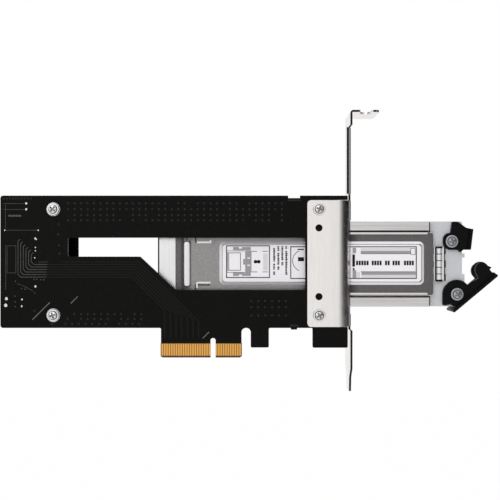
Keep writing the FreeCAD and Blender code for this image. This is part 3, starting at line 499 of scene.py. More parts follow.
def screw_ring_shade():
    return finish("screw_ring_shade", colours().ring, 0.2, (0.35, 0.5), scale=2400.0, metallic=0.8)


def joint_shade():
    return finish("joint_shade", colours().joint, 0.2, (0.5, 0.65), scale=2400.0, specular=0.1)


def edge_shade():
    return finish("edge_shade", colours().edge_shade, 0.25, (0.45, 0.6), scale=1600.0, specular=0.15)


def tinned():
    return finish("tinned", colours().steel, 0.1, (0.3, 0.45), scale=2400.0, metallic=1.0)


def drawn_aluminium():
    return finish("drawn_aluminium", colours().aluminium, 0.12, (0.3, 0.42), (0.015, 1, 1), 1500.0,
                  contrast=3.0, metallic=1.0, relief=0.00004)


def brushed_aluminium():
    return finish("brushed_aluminium", colours().shield, 0.05, (0.3, 0.4), (1, 1, 0.03), 1800.0,
                  metallic=1.0)


def satin_cover():
    """Satin steel with painted shade along the cover: its colour is darkened by place, as its painted shade
    table says.

    Where the sheet turns away from the near side, told by the normal, it takes a painted highlight and is
    less metallic.
    """
    material = finish("satin_cover", colours().cover, 0.15, (0.34, 0.46), (1, 0.3, 1), 1100.0,
                      metallic=0.92, relief=0.00004)
    tree = material.node_tree
    if "painted_shade_ramp" in tree.nodes:
        return material
    place = add_node(tree, "TexCoord").outputs
    share = map_range(tree, separate(tree, place["Object"])["X"], (COVER_LOW.x, COVER_HIGH.x))
    # Painted shade along the cover, as a ramp along X
    painted_shade_ramp = add_node(tree, "ValToRGB", {"Fac": share}, name="painted_shade_ramp")
    stops = painted_shade_ramp.color_ramp.elements
    width = (COVER_HIGH.x - COVER_LOW.x) / MM
    for number, (across, level) in enumerate(COVER_PAINTED_SHADE):
        position = min(max((across - COVER_LOW.x / MM) / width, 0), 1)
        stop = stops[0] if number == 0 else stops.new(position)
        stop.position = position
        stop.color = (*(level * part for part in WARMTH), 1)
    stops.remove(stops[len(stops) - 1])
    painted_shade_colour = add_node(tree, "Mix", {"Factor": 1.0, "A": shader_colour(tree), "B": painted_shade_ramp.outputs["Color"]},
                     data_type="RGBA", blend_type="MULTIPLY").outputs["Result"]
    # Painted highlight where the sheet turns away
    bend = map_range(tree, separate(tree, place["Normal"])["Y"], COVER_TURN)
    feed(tree, shader_input(tree, "Base Color"), mix_colours(tree, bend, painted_shade_colour, colours().bend))
    matt_by_normal(tree, "Y", COVER_TURN, (0.92, 0.3))
    return material


# Near-white painted highlight for the walls of the cover's plateau
def plateau_wall_highlight():
    return finish("plateau_wall_highlight", colours().wall, 0.03, (0.3, 0.42), (0.05, 1, 1), 1500.0, metallic=0.15)


# Painted highlight for the rib's crown, the cover's folds and the tongues' edges
def painted_highlight_steel():
    return finish("painted_highlight_steel", colours().rib, 0.03, (0.3, 0.4), (1, 1, 0.05), 1500.0, metallic=1.0)


def hinge_steel():
    return finish("hinge_steel", colours().knuckle, 0.05, (0.45, 0.55), (1, 1, 0.3), 1800.0, metallic=0.7)


def label_film():
    return finish("label_film", colours().label, 0.012, (0.38, 0.5), scale=2200.0, specular=0.3)


def label_ink():
    return finish("label_ink", colours().ink, 0.1, (0.45, 0.6), scale=2200.0, specular=0.1)


def line_ink():
    return finish("line_ink", colours().line_ink, 0.08, (0.45, 0.6), scale=2200.0, specular=0.15)


def grey_ink():
    return finish("grey_ink", colours().grey_ink, 0.05, (0.45, 0.6), scale=2200.0, specular=0.2)


def light_ink():
    return finish("light_ink", colours().light_ink, 0.02, (0.45, 0.6), scale=2200.0, specular=0.2)


def plate_plastic():
    return finish("plate_plastic", colours().plate, 0.03, (0.42, 0.55), scale=3200.0, specular=0.25,
                  relief=0.00003)


def black_plastic():
    return finish("black_plastic", colours().black, 0.2, (0.4, 0.55), scale=3200.0, specular=0.08,
                  relief=0.00004)


def lever_plastic():
    return finish("lever_plastic", colours().black, 0.25, (0.3, 0.42), scale=2600.0, specular=0.06,
                  relief=0.00003)


def ceramic():
    return finish("ceramic", CERAMIC, 0.1, (0.4, 0.55), scale=2200.0)


def heat_pad():
    return finish("heat_pad", HEAT_PAD, 0.12, (0.7, 0.85), scale=1800.0, relief=0.00006)


# ---- meshes ----

def add_object(name, data):
    """A new object with its data, linked into the scene."""
    thing = bpy.data.objects.new(name, data)
    bpy.context.scene.collection.objects.link(thing)
    return thing


def add_piece(name, shape, material, body, smooth=False):
    """One mesh from a shape, its points in metres and its corner numbers, riding on a body."""
    points, faces = shape
    mesh = bpy.data.meshes.new(name)
    mesh.from_pydata(np.reshape(points, (-1, 3)).tolist(), [], np.asarray(faces).tolist())
    if smooth:
        mesh.shade_smooth()
        mesh.set_sharp_from_angle(angle=SHARP)
    mesh.materials.append(material)
    piece = add_object(name, mesh)
    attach(piece, body)
    return piece


BLOCK_CORNERS = np.array([[x, y, z] for x in (0, 1) for y in (0, 1) for z in (0, 1)], float)
BLOCK_FACES = np.array([[0, 1, 3, 2], [4, 6, 7, 5], [0, 4, 5, 1], [2, 3, 7, 6], [0, 2, 6, 4], [1, 5, 7, 3]])


def plates(rectangles, near, far):
    """Thin plates: each one is the unit block's corners scaled to its rectangle and to the two levels.

    A rectangle is left, right, low, high.
    """
    spans = np.asarray(rectangles, float)
    low = np.stack([spans[:, 0], np.full(len(spans), near), spans[:, 2]], axis=1)
    high = np.stack([spans[:, 1], np.full(len(spans), far), spans[:, 3]], axis=1)
    points = low[:, None] + (high - low)[:, None] * BLOCK_CORNERS[None]
    faces = BLOCK_FACES[None] + 8 * np.arange(len(spans))[:, None, None]
    return points.reshape(-1, 3), faces.reshape(-1, 4)


def rings(centres, profile, count):
    """Turned shapes: a closed profile (radius, level) carried round each centre by an angle.

    A point is the centre plus its radius times the cosine and the sine, at its level along Y.
    """
    centres, profile = np.asarray(centres, float), np.asarray(profile, float)
    angle = np.arange(count) * 2 * np.pi / count
    shape = (len(centres), len(profile), count)
    radius = profile[None, :, None, 0]
    across = centres[:, None, None, 0] + radius * np.cos(angle)
    up = centres[:, None, None, 1] + radius * np.sin(angle)
    level = np.broadcast_to(profile[None, :, None, 1], shape)
    points = np.stack([across, level, up], axis=-1).reshape(-1, 3)
    number = np.arange(np.prod(shape)).reshape(shape)
    after = np.roll(number, -1, axis=1)
    faces = np.stack([number, np.roll(number, -1, axis=2), np.roll(after, -1, axis=2), after], axis=-1)
    return points, faces.reshape(-1, 4)


def ribbon(path, width, near, far):
    """A flat strip: a rectangle carried along a path, each point moved half the width along its mitre."""
    path = np.asarray(path, float)
    steps = np.diff(path, axis=0)
    steps /= np.linalg.norm(steps, axis=1)[:, None]
    before, after = np.vstack([steps[:1], steps]), np.vstack([steps, steps[-1:]])
    mitre = before + after
    mitre /= np.linalg.norm(mitre, axis=1)[:, None]
    reach = width / 2 / np.maximum((mitre * after).sum(axis=1), MITRE_LEAST)
    side = np.stack([-mitre[:, 1], mitre[:, 0]], axis=1) * reach[:, None]
    left, right = path + side, path - side
    corners = [(left, near), (right, near), (right, far), (left, far)]
    points = np.stack([np.stack([line[:, 0], np.full(len(path), level), line[:, 1]], axis=1)
                       for line, level in corners], axis=1)
    start = 4 * np.arange(len(path) - 1)[:, None]
    faces = np.concatenate([start + np.array([k, (k + 1) % 4, (k + 1) % 4 + 4, k + 4]) for k in range(4)])
    last = 4 * (len(path) - 1)
    caps = [[3, 2, 1, 0], [last, last + 1, last + 2, last + 3]]
    return points.reshape(-1, 3), np.vstack([faces, caps])


def joined(parts):
    """Several meshes as one: the points follow each other, and the corner numbers count on."""
    starts = np.cumsum([0] + [len(points) for points, _ in parts[:-1]])
    return (np.vstack([points for points, _ in parts]),
            np.vstack([faces + start for start, (_, faces) in zip(starts, parts)]))


def dress(node, material, bevel=None, segments=3, patches=()):
    """A copy of a CAD node's mesh, merged, its flat faces made whole and its edges rounded.

    A patch is a material and two corners: the faces whose middle lies between them take it.
    """
    source = frame["nodes"][node]
    work = bmesh.new()
    work.from_mesh(source.data)
    bmesh.ops.remove_doubles(work, verts=work.verts, dist=MERGE)
    bmesh.ops.dissolve_limit(work, angle_limit=FLAT, verts=work.verts, edges=work.edges)
    work.verts.index_update()
    points = [vertex.co.copy() for vertex in work.verts]
    faces = [[vertex.index for vertex in face.verts] for face in work.faces]
    work.free()
    mesh = bpy.data.meshes.new(f"{node}_finish")
    mesh.from_pydata(points, [], faces)
    mesh.shade_smooth()
    mesh.set_sharp_from_angle(angle=SHARP)
    mesh.materials.append(material)
    middles = np.empty(3 * len(mesh.polygons))
    mesh.polygons.foreach_get("center", middles)
    middles = middles.reshape(-1, 3)
    chosen = np.zeros(len(middles), np.int32)
    for number, (other, low, high) in enumerate(patches, start=1):
        mesh.materials.append(other)
        chosen[((middles >= low) & (middles <= high)).all(axis=1)] = number
    mesh.polygons.foreach_set("material_index", chosen)
    piece = add_object(f"{node}_finish", mesh)
    if bevel:
        rounding = piece.modifiers.new("rounding", "BEVEL")
        rounding.width = bevel
        rounding.segments = segments
        rounding.limit_method = "ANGLE"
        rounding.angle_limit = SHARP
        rounding.use_clamp_overlap = True
        rounding.harden_normals = True
    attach(piece, source["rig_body"])
    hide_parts(node)
    return piece


def turned_screw(centre, seat, facing, head, thick, shank, length, turn):
    """A cross-head screw as one grid: its meridian (radius, level) is carried round the axis.

    The crown is a low dome, a step leads down to the rim, and under the head comes the shank. Where the
    turned point lies in either arm of the cross, the level sinks by the recess, eased at the arm's edge.
    The third array says, point by point, which colour it takes: 0 steel, 1 the painted shade in the recess, 2
    the painted shade in the groove and on the rim's wall.
    """
    size = sizes()
    crown, rim = head * size.crown_share, thick * size.flange_share
    inner = np.linspace(0, 1, DOME_STEPS)
    dome = np.stack([crown * inner, thick * (1 - CROWN_FALL * inner ** 2)], axis=1)
    tip = [(shank, 0), (shank, -length * 0.94), (shank * 0.7, -length), (0, -length)]
    meridian = np.vstack([dome, np.array(CROWN_STEP) * (crown, rim), np.array(RIM_STEP) * (head, rim), tip])
    angle = np.linspace(0, 2 * np.pi, SCREW_STEPS, endpoint=False)
    radius, level = meridian[:, 0][:, None], meridian[:, 1][:, None]
    along, aside = np.abs(radius * np.cos(angle)), np.abs(radius * np.sin(angle))

    def arm(long, wide):
        return (np.clip((head * CROSS_REACH - long) / CROSS_EASE + 0.5, 0, 1)
                * np.clip((head * CROSS_HALF - wide) / CROSS_EASE + 0.5, 0, 1))

    cross = np.maximum(arm(along, aside), arm(aside, along)) * (level > thick * 0.8)
    height = np.broadcast_to(level, cross.shape) - cross * thick * CROSS_DEPTH
    across = centre[0] + radius * np.cos(angle + turn)
    up = centre[1] + radius * np.sin(angle + turn)
    points = np.stack([across, seat + facing * height, up], axis=-1)
    number = np.arange(points.shape[0] * points.shape[1]).reshape(points.shape[:2])
    beside = np.roll(number, -1, axis=1)
    corners = [number[:-1], beside[:-1], beside[1:], number[1:]]
    faces = np.stack(corners if facing < 0 else corners[::-1], axis=-1).reshape(-1, 4)
    first, last = GROOVE_SPAN
    groove_shade = (radius > crown * first) & (radius < crown * last) | (radius > head * GROOVE_EDGE)
    return points.reshape(-1, 3), faces, np.maximum((cross > 0.3) * 1, groove_shade * 2).ravel()


def close_poles(piece):
    """Merges the points that meet on an axis, which drops the flattened faces, and turns the rest outward."""
    work = bmesh.new()
    work.from_mesh(piece.data)
    bmesh.ops.remove_doubles(work, verts=work.verts, dist=MERGE / 2)
    bmesh.ops.recalc_face_normals(work, faces=work.faces)
    work.to_mesh(piece.data)
    work.free()


def repaint(node, material):
    """Gives a CAD node that keeps its own mesh its finish."""
    slots = frame["nodes"][node].material_slots
    if not slots:
        raise RuntimeError(f"{node} has no material slot")
    for place in slots:
        place.material = material


# ---- operators ----

class TrayCardOperator:
    """What the operators share."""
    bl_options = {"REGISTER"}


class TRAYCARD_OT_circuit_board(TrayCardOperator, bpy.types.Operator):
    """Board with its solder mask, traces, vias, test points and screw lands"""
    bl_idname = "traycard.circuit_board"
    bl_label = "Circuit Board"

    def execute(self, context):
        size = sizes()
        repaint("circuit_board", solder_mask())
        self.front, self.rise = BOARD_LOW.y, size.trace_rise
        self.bus(size)
        self.fine_lines(size)
        self.vias(size)
        self.points(size)
        return {"FINISHED"}

    def place(self, pairs):
        """Points in millimetres from the board's upper left corner, right and down, as metres in X and Z."""
        return np.asarray(pairs, float) * (MM, -MM) + (BOARD_LOW.x, BOARD_HIGH.z)

    def lay(self, name, lines, width, material):
        """One piece of ribbons that stand on the board's front."""
        shape = joined([ribbon(self.place(line), width, self.front - self.rise, self.front)
                        for line in lines])
        add_piece(name, shape, material, "card")

    def bus(self, size):
        """Seven nested traces: line k starts k steps further in, runs level and turns down at 45 degrees."""
        number = np.arange(7)
        step, lean = size.trace_pitch / MM, 0.9
        start, level = 7.5 + step * number, 34.6 - step * 0.95 * number
        cut, turn, foot = 19.5 + 0.1 * number, 55.8 + 0.5 * number, 69.8 + 2.4 * number
        loops = [[(start[k] + lean, 19.4 + step * k - lean), (start[k], 19.4 + step * k),
                  (start[k], level[k] - step), (start[k] + step, level[k]), (cut[k], level[k])]
                 for k in number[:6]]
        runs = [[(cut[k], level[k]), (turn[k], level[k]),
                 (foot[k], level[k] + foot[k] - turn[k]), (foot[k], 60.2)] for k in number]
        self.lay("loop_traces", loops, size.trace_width * 1.1, mask_edge())
        self.lay("bus_traces", runs, size.trace_width * 1.5, raised_mask())

    def fine_lines(self, size):
        """Thin lines at the board's left end, three pale strokes and the printed marks."""
        box = [(2.9, 21.3), (6.6, 21.3), (6.6, 32.8), (2.9, 32.8), (2.9, 21.3)]
        lines = [[(1.2, 3.4), (9.9, 3.4)], [(1.2, 5.9), (9.9, 5.9)], [(1.9, 14.7), (16.1, 14.7)],
                 [(2.2, 4.0), (2.2, 14.0)], [(2.3, 21.0), (2.3, 40.0)], box,
                 [(16.2, 28.2), (26.0, 28.2)], [(8.0, 37.5), (14.0, 40.5)]]
        self.lay("thin_traces", lines, size.trace_width * 0.7, mask_edge())
        self.lay("pale_strokes", [[(13.6, 52.7), (21.0, 45.4)], [(29.9, 45.8), (32.9, 42.8)],
                                      [(85.9, 60.6), (88.6, 57.9)]], size.trace_width * 1.5, board_print())
        marks = [(left, left + 0.35, 8.2, 8.2 + 0.75) for left in np.arange(3.5, 9.0, 0.62)]
        marks += [(left, left + 0.4, down, down + 0.3) for left, down in (
            (6.2, 36.2), (7.4, 37.4), (8.8, 39.2), (10.3, 39.6), (14.1, 35.4), (15.3, 35.4), (17.0, 35.6),
            (18.3, 35.6), (6.0, 42.5), (6.1, 45.0), (6.1, 47.0))]
        spans = np.array(marks)
        low, high = self.place(spans[:, [0, 3]]), self.place(spans[:, [1, 2]])
        shape = plates(np.stack([low[:, 0], high[:, 0], low[:, 1], high[:, 1]], axis=1),
                       self.front - self.rise, self.front)
        add_piece("printed_marks", shape, board_print(), "card")

    def vias(self, size):
        """Covered vias: low domes, each a short profile turned round a centre.

        A row is its distance down, its first and last place across, and its pitch, in millimetres. Only a
        share of a row's vias is drawn, chosen at random.
        """
        draw = np.random.default_rng(size.seed)
        rows = [(3.3, 28.8, 120.0, 2.75), (5.8, 28.8, 120.0, 2.75), (8.3, 28.8, 121.0, 2.75),
                (10.5, 28.8, 121.0, 2.75), (50.3, 28.6, 60.5, 2.84), (52.4, 28.6, 60.5, 2.84),
                (54.5, 22.0, 60.5, 2.84)]
        centres = [(across, down) for down, low, high, pitch in rows for across in np.arange(low, high, pitch)
                   if draw.random() < VIA_SHARE]
        centres += [(across, down) for across in np.arange(106.6, 122.0, 2.93) for down in (44.8, 47.4, 50.9)]
        centres += [(24.7, 12.2), (24.6, 16.5), (24.9, 21.2), (25.1, 24.6), (14.6, 41.4), (14.5, 49.0)]
        centres += [(across, 1.3) for across in np.arange(1.6, 13.0, 1.25)]
        centres += [(across, 2.0) for across in np.arange(122.6, 127.4, 0.9)]
        centres += [(across, 55.2) for across in np.arange(123.4, 126.6, 0.9)]
        radius, places = size.via_radius, self.place(centres)
        edge = [(1.3, 0), (1.0, 0.6), (0.7, 1.4), (0.35, 1.6), (0.3, 0.4)]
        for name, face, sign in (("covered_vias", self.front, -1), ("covered_vias_behind", BOARD_HIGH.y, 1)):
            profile = [(radius * share, face + sign * self.rise * lift) for share, lift in edge]
            shape = rings(places, profile[::sign], VIA_SIDES)
            add_piece(name, shape, via_mask(), "card")

    def points(self, size):
        """Tinned test points, each with its share of the radius, and the lands round the frame screws."""
        tests = self.place([(11.0, 3.3), (11.0, 5.8), (14.8, 18.2), (15.3, 18.6), (14.9, 22.0), (14.9, 23.4),
                            (14.6, 26.4), (14.9, 38.6), (2.6, 43.8), (2.3, 46.6), (9.2, 44.1), (9.1, 47.0),
                            (1.9, 14.7), (16.1, 14.7)])
        reach = np.array([1.1, 1.1, 1.0, 0.7, 0.7, 0.7, 0.7, 1.1, 1.5, 1.7, 0.9, 0.9, 0.7, 0.7])
        deep = self.front - self.rise * 2
        parts = []
        for centre, share in zip(tests, reach):
            radius = size.point_radius * share
            parts.append(rings([centre], [(radius * 0.15, self.front), (radius * 0.15, deep),
                                          (radius * 0.8, deep), (radius, self.front)], POINT_SIDES))
        add_piece("test_points", joined(parts), tinned(), "card")
        low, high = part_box("frame_screws")
        head = (high.x - low.x) / 2
        lands = [((low.x + high.x) / 2, up) for up in (low.z + head, high.z - head)]
        profile = [(size.land_hole, self.front), (size.land_hole, deep), (size.land_radius, deep),
                   (size.land_radius, self.front)]
        shape = rings(lands, profile, LAND_SIDES)
        add_piece("screw_lands", shape, tinned(), "card", smooth=True)


class TRAYCARD_OT_edge_contacts(TrayCardOperator, bpy.types.Operator):
    """Gold contacts along the board's edge, and the bare core that shows between them"""
    bl_idname = "traycard.edge_contacts"
    bl_label = "Edge Contacts"

    def execute(self, context):
        size = sizes()
        repaint("edge_contacts", gold())
        low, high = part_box("edge_contacts")
        margin = size.contact_margin
        spans = [(low.x - margin, -size.key_half - margin / 2, low.z - margin, high.z + margin / 2),
                 (size.key_half + margin / 2, high.x + margin, low.z - margin, high.z + margin / 2)]
        skin = (BOARD_LOW.y - low.y) / 4
        for name, near, far in (("bare_edge", BOARD_LOW.y - skin, BOARD_LOW.y),
                                ("bare_edge_behind", BOARD_HIGH.y, BOARD_HIGH.y + skin)):
            add_piece(name, plates(spans, near, far), bare_core(), "card")
        return {"FINISHED"}


class TRAYCARD_OT_slot_bracket(TrayCardOperator, bpy.types.Operator):
    """Folded slot bracket"""
    bl_idname = "traycard.slot_bracket"
    bl_label = "Slot Bracket"

    def execute(self, context):
        low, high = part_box("slot_bracket")
        sheet, rise = sizes().bracket_sheet, sizes().print_rise
        edge = BOARD_HIGH.x + sizes().bracket_gap
        # Painted shade on the bracket's near cut edge and on the nearest faces at its top
        patches = ((edge_shade(), (edge + sheet / 4, -1, -1), (edge + sheet * 0.9, 1, 1)),
                   (edge_shade(), (edge, -1, high.z - sheet * 6.5), (1, low.y + rise, 1)))
        dress("slot_bracket", zinc_steel(), sizes().sheet_edge, 3, patches)
        return {"FINISHED"}


class TRAYCARD_OT_guide(TrayCardOperator, bpy.types.Operator):
    """Guide rails and the moulded end bridge"""
    bl_idname = "traycard.guide"
    bl_label = "Guide Rails"

    def execute(self, context):
        size = sizes()
        for node in ("upper_guide_rail", "lower_guide_rail"):
            dress(node, black_plastic(), size.sheet_edge, 2)
        dress("end_bridge", black_plastic(), size.moulded_edge, 3)
        return {"FINISHED"}


class TRAYCARD_OT_drive_socket(TrayCardOperator, bpy.types.Operator):
    """Drive socket, its legs and the capacitors"""
    bl_idname = "traycard.drive_socket"
    bl_label = "Drive Socket"

    def execute(self, context):
        dress("drive_socket", black_plastic(), sizes().moulded_edge, 3)
        repaint("socket_legs", tinned())
        for node in ("coupler_capacitors", "supply_capacitors"):
            repaint(node, ceramic())
        return {"FINISHED"}


class TRAYCARD_OT_screws(TrayCardOperator, bpy.types.Operator):
    """Screws of the card and the pivots of the tray's front"""
    bl_idname = "traycard.screws"
    bl_label = "Screws"

    def execute(self, context):
        size = sizes()
        for node, facing, thick, share, turns in (
                ("bracket_screws", -1, size.head_thick, size.shank_share, (0.5, 1.2)),
                ("frame_screws", -1, size.head_thick, size.shank_share, (0.3, 0.9)),
                ("bridge_screws", 1, size.small_head_thick, size.small_shank_share, (0.2, 0.7)),
                ("lever_screw", -1, size.pivot_head_thick, size.shank_share, (0.6,)),
                ("latch_screw", -1, size.pivot_head_thick, size.shank_share, (0.25,))):
            low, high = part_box(node)
            head = (high.x - low.x) / 2
            seat = low.y + thick if facing < 0 else high.y - thick
            deep = high.y - seat if facing < 0 else seat - low.y
            levels = (low.z + head, high.z - head)[:len(turns)]
            turned = [turned_screw(((low.x + high.x) / 2, level), seat, facing, head, thick,
                                   head * share, deep, turn) for level, turn in zip(levels, turns)]
            shape = joined([screw[:2] for screw in turned])
            shaded = np.concatenate([screw[2] for screw in turned])
            body = frame["nodes"][node]["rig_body"]
            steel = pivot_steel() if body == "tray" else screw_steel()
            piece = add_piece(f"{node}_finish", shape, steel, body)
            # Painted shade: the cross recess, and the groove with the rim's wall
            piece.data.materials.append(screw_recess_shade())
            piece.data.materials.append(screw_ring_shade())
            chosen = shaded[shape[1]].min(axis=1).astype(np.int32)
            piece.data.polygons.foreach_set("material_index", chosen)
            close_poles(piece)
            piece.data.shade_smooth()
            piece.data.set_sharp_from_angle(angle=SHARP)
            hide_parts(node)
        return {"FINISHED"}


class TRAYCARD_OT_tray(TrayCardOperator, bpy.types.Operator):
    """Tray with its end shield, front plate and drive standoff"""
    bl_idname = "traycard.tray"
    bl_label = "Tray"

    def execute(self, context):
        size = sizes()
        dress("tray_base", drawn_aluminium(), size.moulded_edge, 3)
        dress("tray_end_shield", brushed_aluminium(), size.sheet_edge, 3)
        low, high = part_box("tray_end_shield")
        # Painted shade along the end shield's left edge
        spans = [(low.x, low.x + size.shield_edge, low.z + size.shield_edge, high.z - size.shield_edge)]
        skin = size.print_rise * 2
        add_piece("shield_edge_shade", plates(spans, low.y - skin, low.y), edge_shade(), "tray")
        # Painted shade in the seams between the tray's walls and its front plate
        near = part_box("tray_base")[0].y
        right, wide = PLATE_LOW.x - size.rail_joint, size.rail_joint
        spans = [(right - wide, right, COVER_HIGH.z - wide, PLATE_HIGH.z - wide),
                 (right - wide, right, PLATE_LOW.z + wide, COVER_LOW.z)]
        add_piece("rail_joint_shades", plates(spans, near - skin, near), joint_shade(), "tray")
        pin_low, pin_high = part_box("cover_hinge_pin")
        hinge = (hinge_steel(), (pin_low.x - size.hinge_reach / 3, -1, pin_low.z),
                 (PLATE_HIGH.x - size.hatch_inset, 1, pin_high.z))
        dress("front_plate", plate_plastic(), size.moulded_edge, 3, (hinge,))
        repaint("drive_standoff", screw_steel())
        return {"FINISHED"}


class TRAYCARD_OT_cover(TrayCardOperator, bpy.types.Operator):
    """Stamped cover, its hinge pin and the heat pad"""
    bl_idname = "traycard.cover"
    bl_label = "Tray Cover"

    def execute(self, context):
        size = sizes()
        edge = COVER_HIGH.x - size.hinge_reach
        wall, skin = 2 * size.line_width + size.plateau_rise * 2, size.print_rise
        # The cover's knuckles take hinge steel, and its plateau's walls a painted highlight
        patches = ((hinge_steel(), (edge + size.slot_width, -1, -1), (1, 1, 1)),
                   (plateau_wall_highlight(), (LABEL_LOW.x - wall, COVER_LOW.y + skin, LABEL_LOW.z - wall),
                    (LABEL_HIGH.x + wall, COVER_LOW.y + size.plateau_rise - skin, LABEL_HIGH.z + wall)))
        dress("tray_cover", satin_cover(), size.press_edge, 4, patches)
        self.rib(size)
        self.folds(size, edge)
        self.tongues(size)
        self.hinge(size)
        repaint("cover_hinge_pin", hinge_steel())
        repaint("thermal_pad", heat_pad())
        return {"FINISHED"}

    def sheet(self, size):
        """Level of the cover's sheet along Y: the plateau's rise behind its front."""
        return COVER_LOW.y + size.plateau_rise

    def rib(self, size):
        """Crown of the stiffening rib, a grid along and across, painted with a highlight.

        The height is the rise times the root of one less the fourth power of the distance from the
        rib's middle line, counted in half widths.
        """
        half = size.rib_width / 2
        low, high = COVER_LOW.z + size.rib_inset, COVER_HIGH.z - size.rib_inset
        lines = np.linspace(low, high, RIB_POINTS[0]), np.linspace(-1, 1, RIB_POINTS[1])
        along, across = np.meshgrid(*lines, indexing="ij")
        over = np.maximum(np.maximum(low + half - along, along - high + half), 0) / half
        height = size.rib_rise * np.sqrt(1 - np.minimum(np.hypot(across, over), 1) ** 4)
        base = self.sheet(size) + size.print_rise * 3
        points = np.stack([size.rib_middle + across * half, base - height, along], axis=-1)
        number = np.arange(along.size).reshape(along.shape)
        faces = np.stack([number[:-1, :-1], number[:-1, 1:], number[1:, 1:], number[1:, :-1]], axis=-1)
        shape = points, faces.reshape(-1, 4)
        add_piece("rib_crown_highlight", shape, painted_highlight_steel(), "tray", smooth=True)

    def folds(self, size, edge):
        """Painted highlight strips along the cover's two long folds, and painted shade in the joint beside
        the upper one.
        """
        sheet = self.sheet(size)
        top, foot = COVER_HIGH.z - size.press_edge * 0.8, COVER_LOW.z + size.press_edge * 2
        left, right = COVER_LOW.x + size.fold_width, edge - size.fold_width * 3.5
        spans = [(left, right, top - size.fold_width, top), (left, right, foot, foot + size.fold_width)]
        shape = plates(spans, sheet - size.print_rise * 2, sheet)
        add_piece("cover_fold_highlights", shape, painted_highlight_steel(), "tray")
        # Painted shade: a dark sheet inside the joint beside the upper fold
        joint = [(COVER_LOW.x, right, COVER_HIGH.z, COVER_HIGH.z + size.fold_joint)]
        shape = plates(joint, sheet, sheet + size.fold_joint / 2)
        add_piece("cover_joint_shade", shape, joint_shade(), "tray")

    def tongues(self, size):
        """A painted highlight along each spring tongue's edge: a ribbon along that edge that turns the corner
        at one end.
        """
        left, right, edge_highlight = size.tongue_left, size.tongue_right, size.tongue_highlight
        low, high = size.tongue_levels
        sheet = self.sheet(size)
        lines = [[(left, low - edge_highlight * 3.4), (left, low - edge_highlight * 0.5), (left + edge_highlight * 0.5, low), (right, low)],
                 [(left, high), (right, high), (right, high + edge_highlight * 1.3)]]
        shape = joined([ribbon(line, edge_highlight, sheet - size.print_rise * 4, sheet) for line in lines])
        add_piece("tongue_highlights", shape, painted_highlight_steel(), "tray")

    def hinge(self, size):
        """Leaves and strips of painted shade on both sides of the knuckles, and dark discs of painted shade
        between them and at their ends.
        """
        low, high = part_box("cover_hinge_pin")
        axis, level = (low.x + high.x) / 2, (low.y + high.y) / 2
        reach, shade_width = size.knuckle_radius, size.hinge_shade_width
        depth = level - reach * 0.45
        joint_shades = [(-reach - shade_width, -reach - shade_width * 0.1), (reach + shade_width * 1.1, reach + shade_width * 1.75)]
        leaves = [(-reach - shade_width * 1.7, -reach - shade_width), (reach - shade_width * 0.2, reach + shade_width * 1.1)]
        for name, spans, material in (("hinge_joint_shades", joint_shades, joint_shade()),
                                      ("hinge_leaves", leaves, hinge_steel())):
            places = [(axis + left, axis + right, low.z, high.z) for left, right in spans]
            shape = plates(places, depth, depth + size.print_rise * 8)
            add_piece(name, shape, material, "tray")
        # Dark discs paint the shade between the knuckles and at the hinge's ends
        knuckles = 5
        pitch, half, inner = (high.z - low.z) / knuckles, size.gap_shade_thick / 2, reach * 0.4
        parts = []
        for number in range(knuckles + 1):
            is_end = number in (0, knuckles)
            share, thick = (1.1, half * 2.4) if is_end else (1.02, half)
            profile = [(inner, -thick), (reach * share, -thick), (reach * share, thick), (inner, thick)]
            points, faces = rings([(axis, level)], profile, GAP_SHADE_SIDES)
            parts.append((points[:, [0, 2, 1]] + (0, 0, low.z + number * pitch), faces[:, ::-1]))
        add_piece("hinge_gap_shades", joined(parts), joint_shade(), "tray", smooth=True)


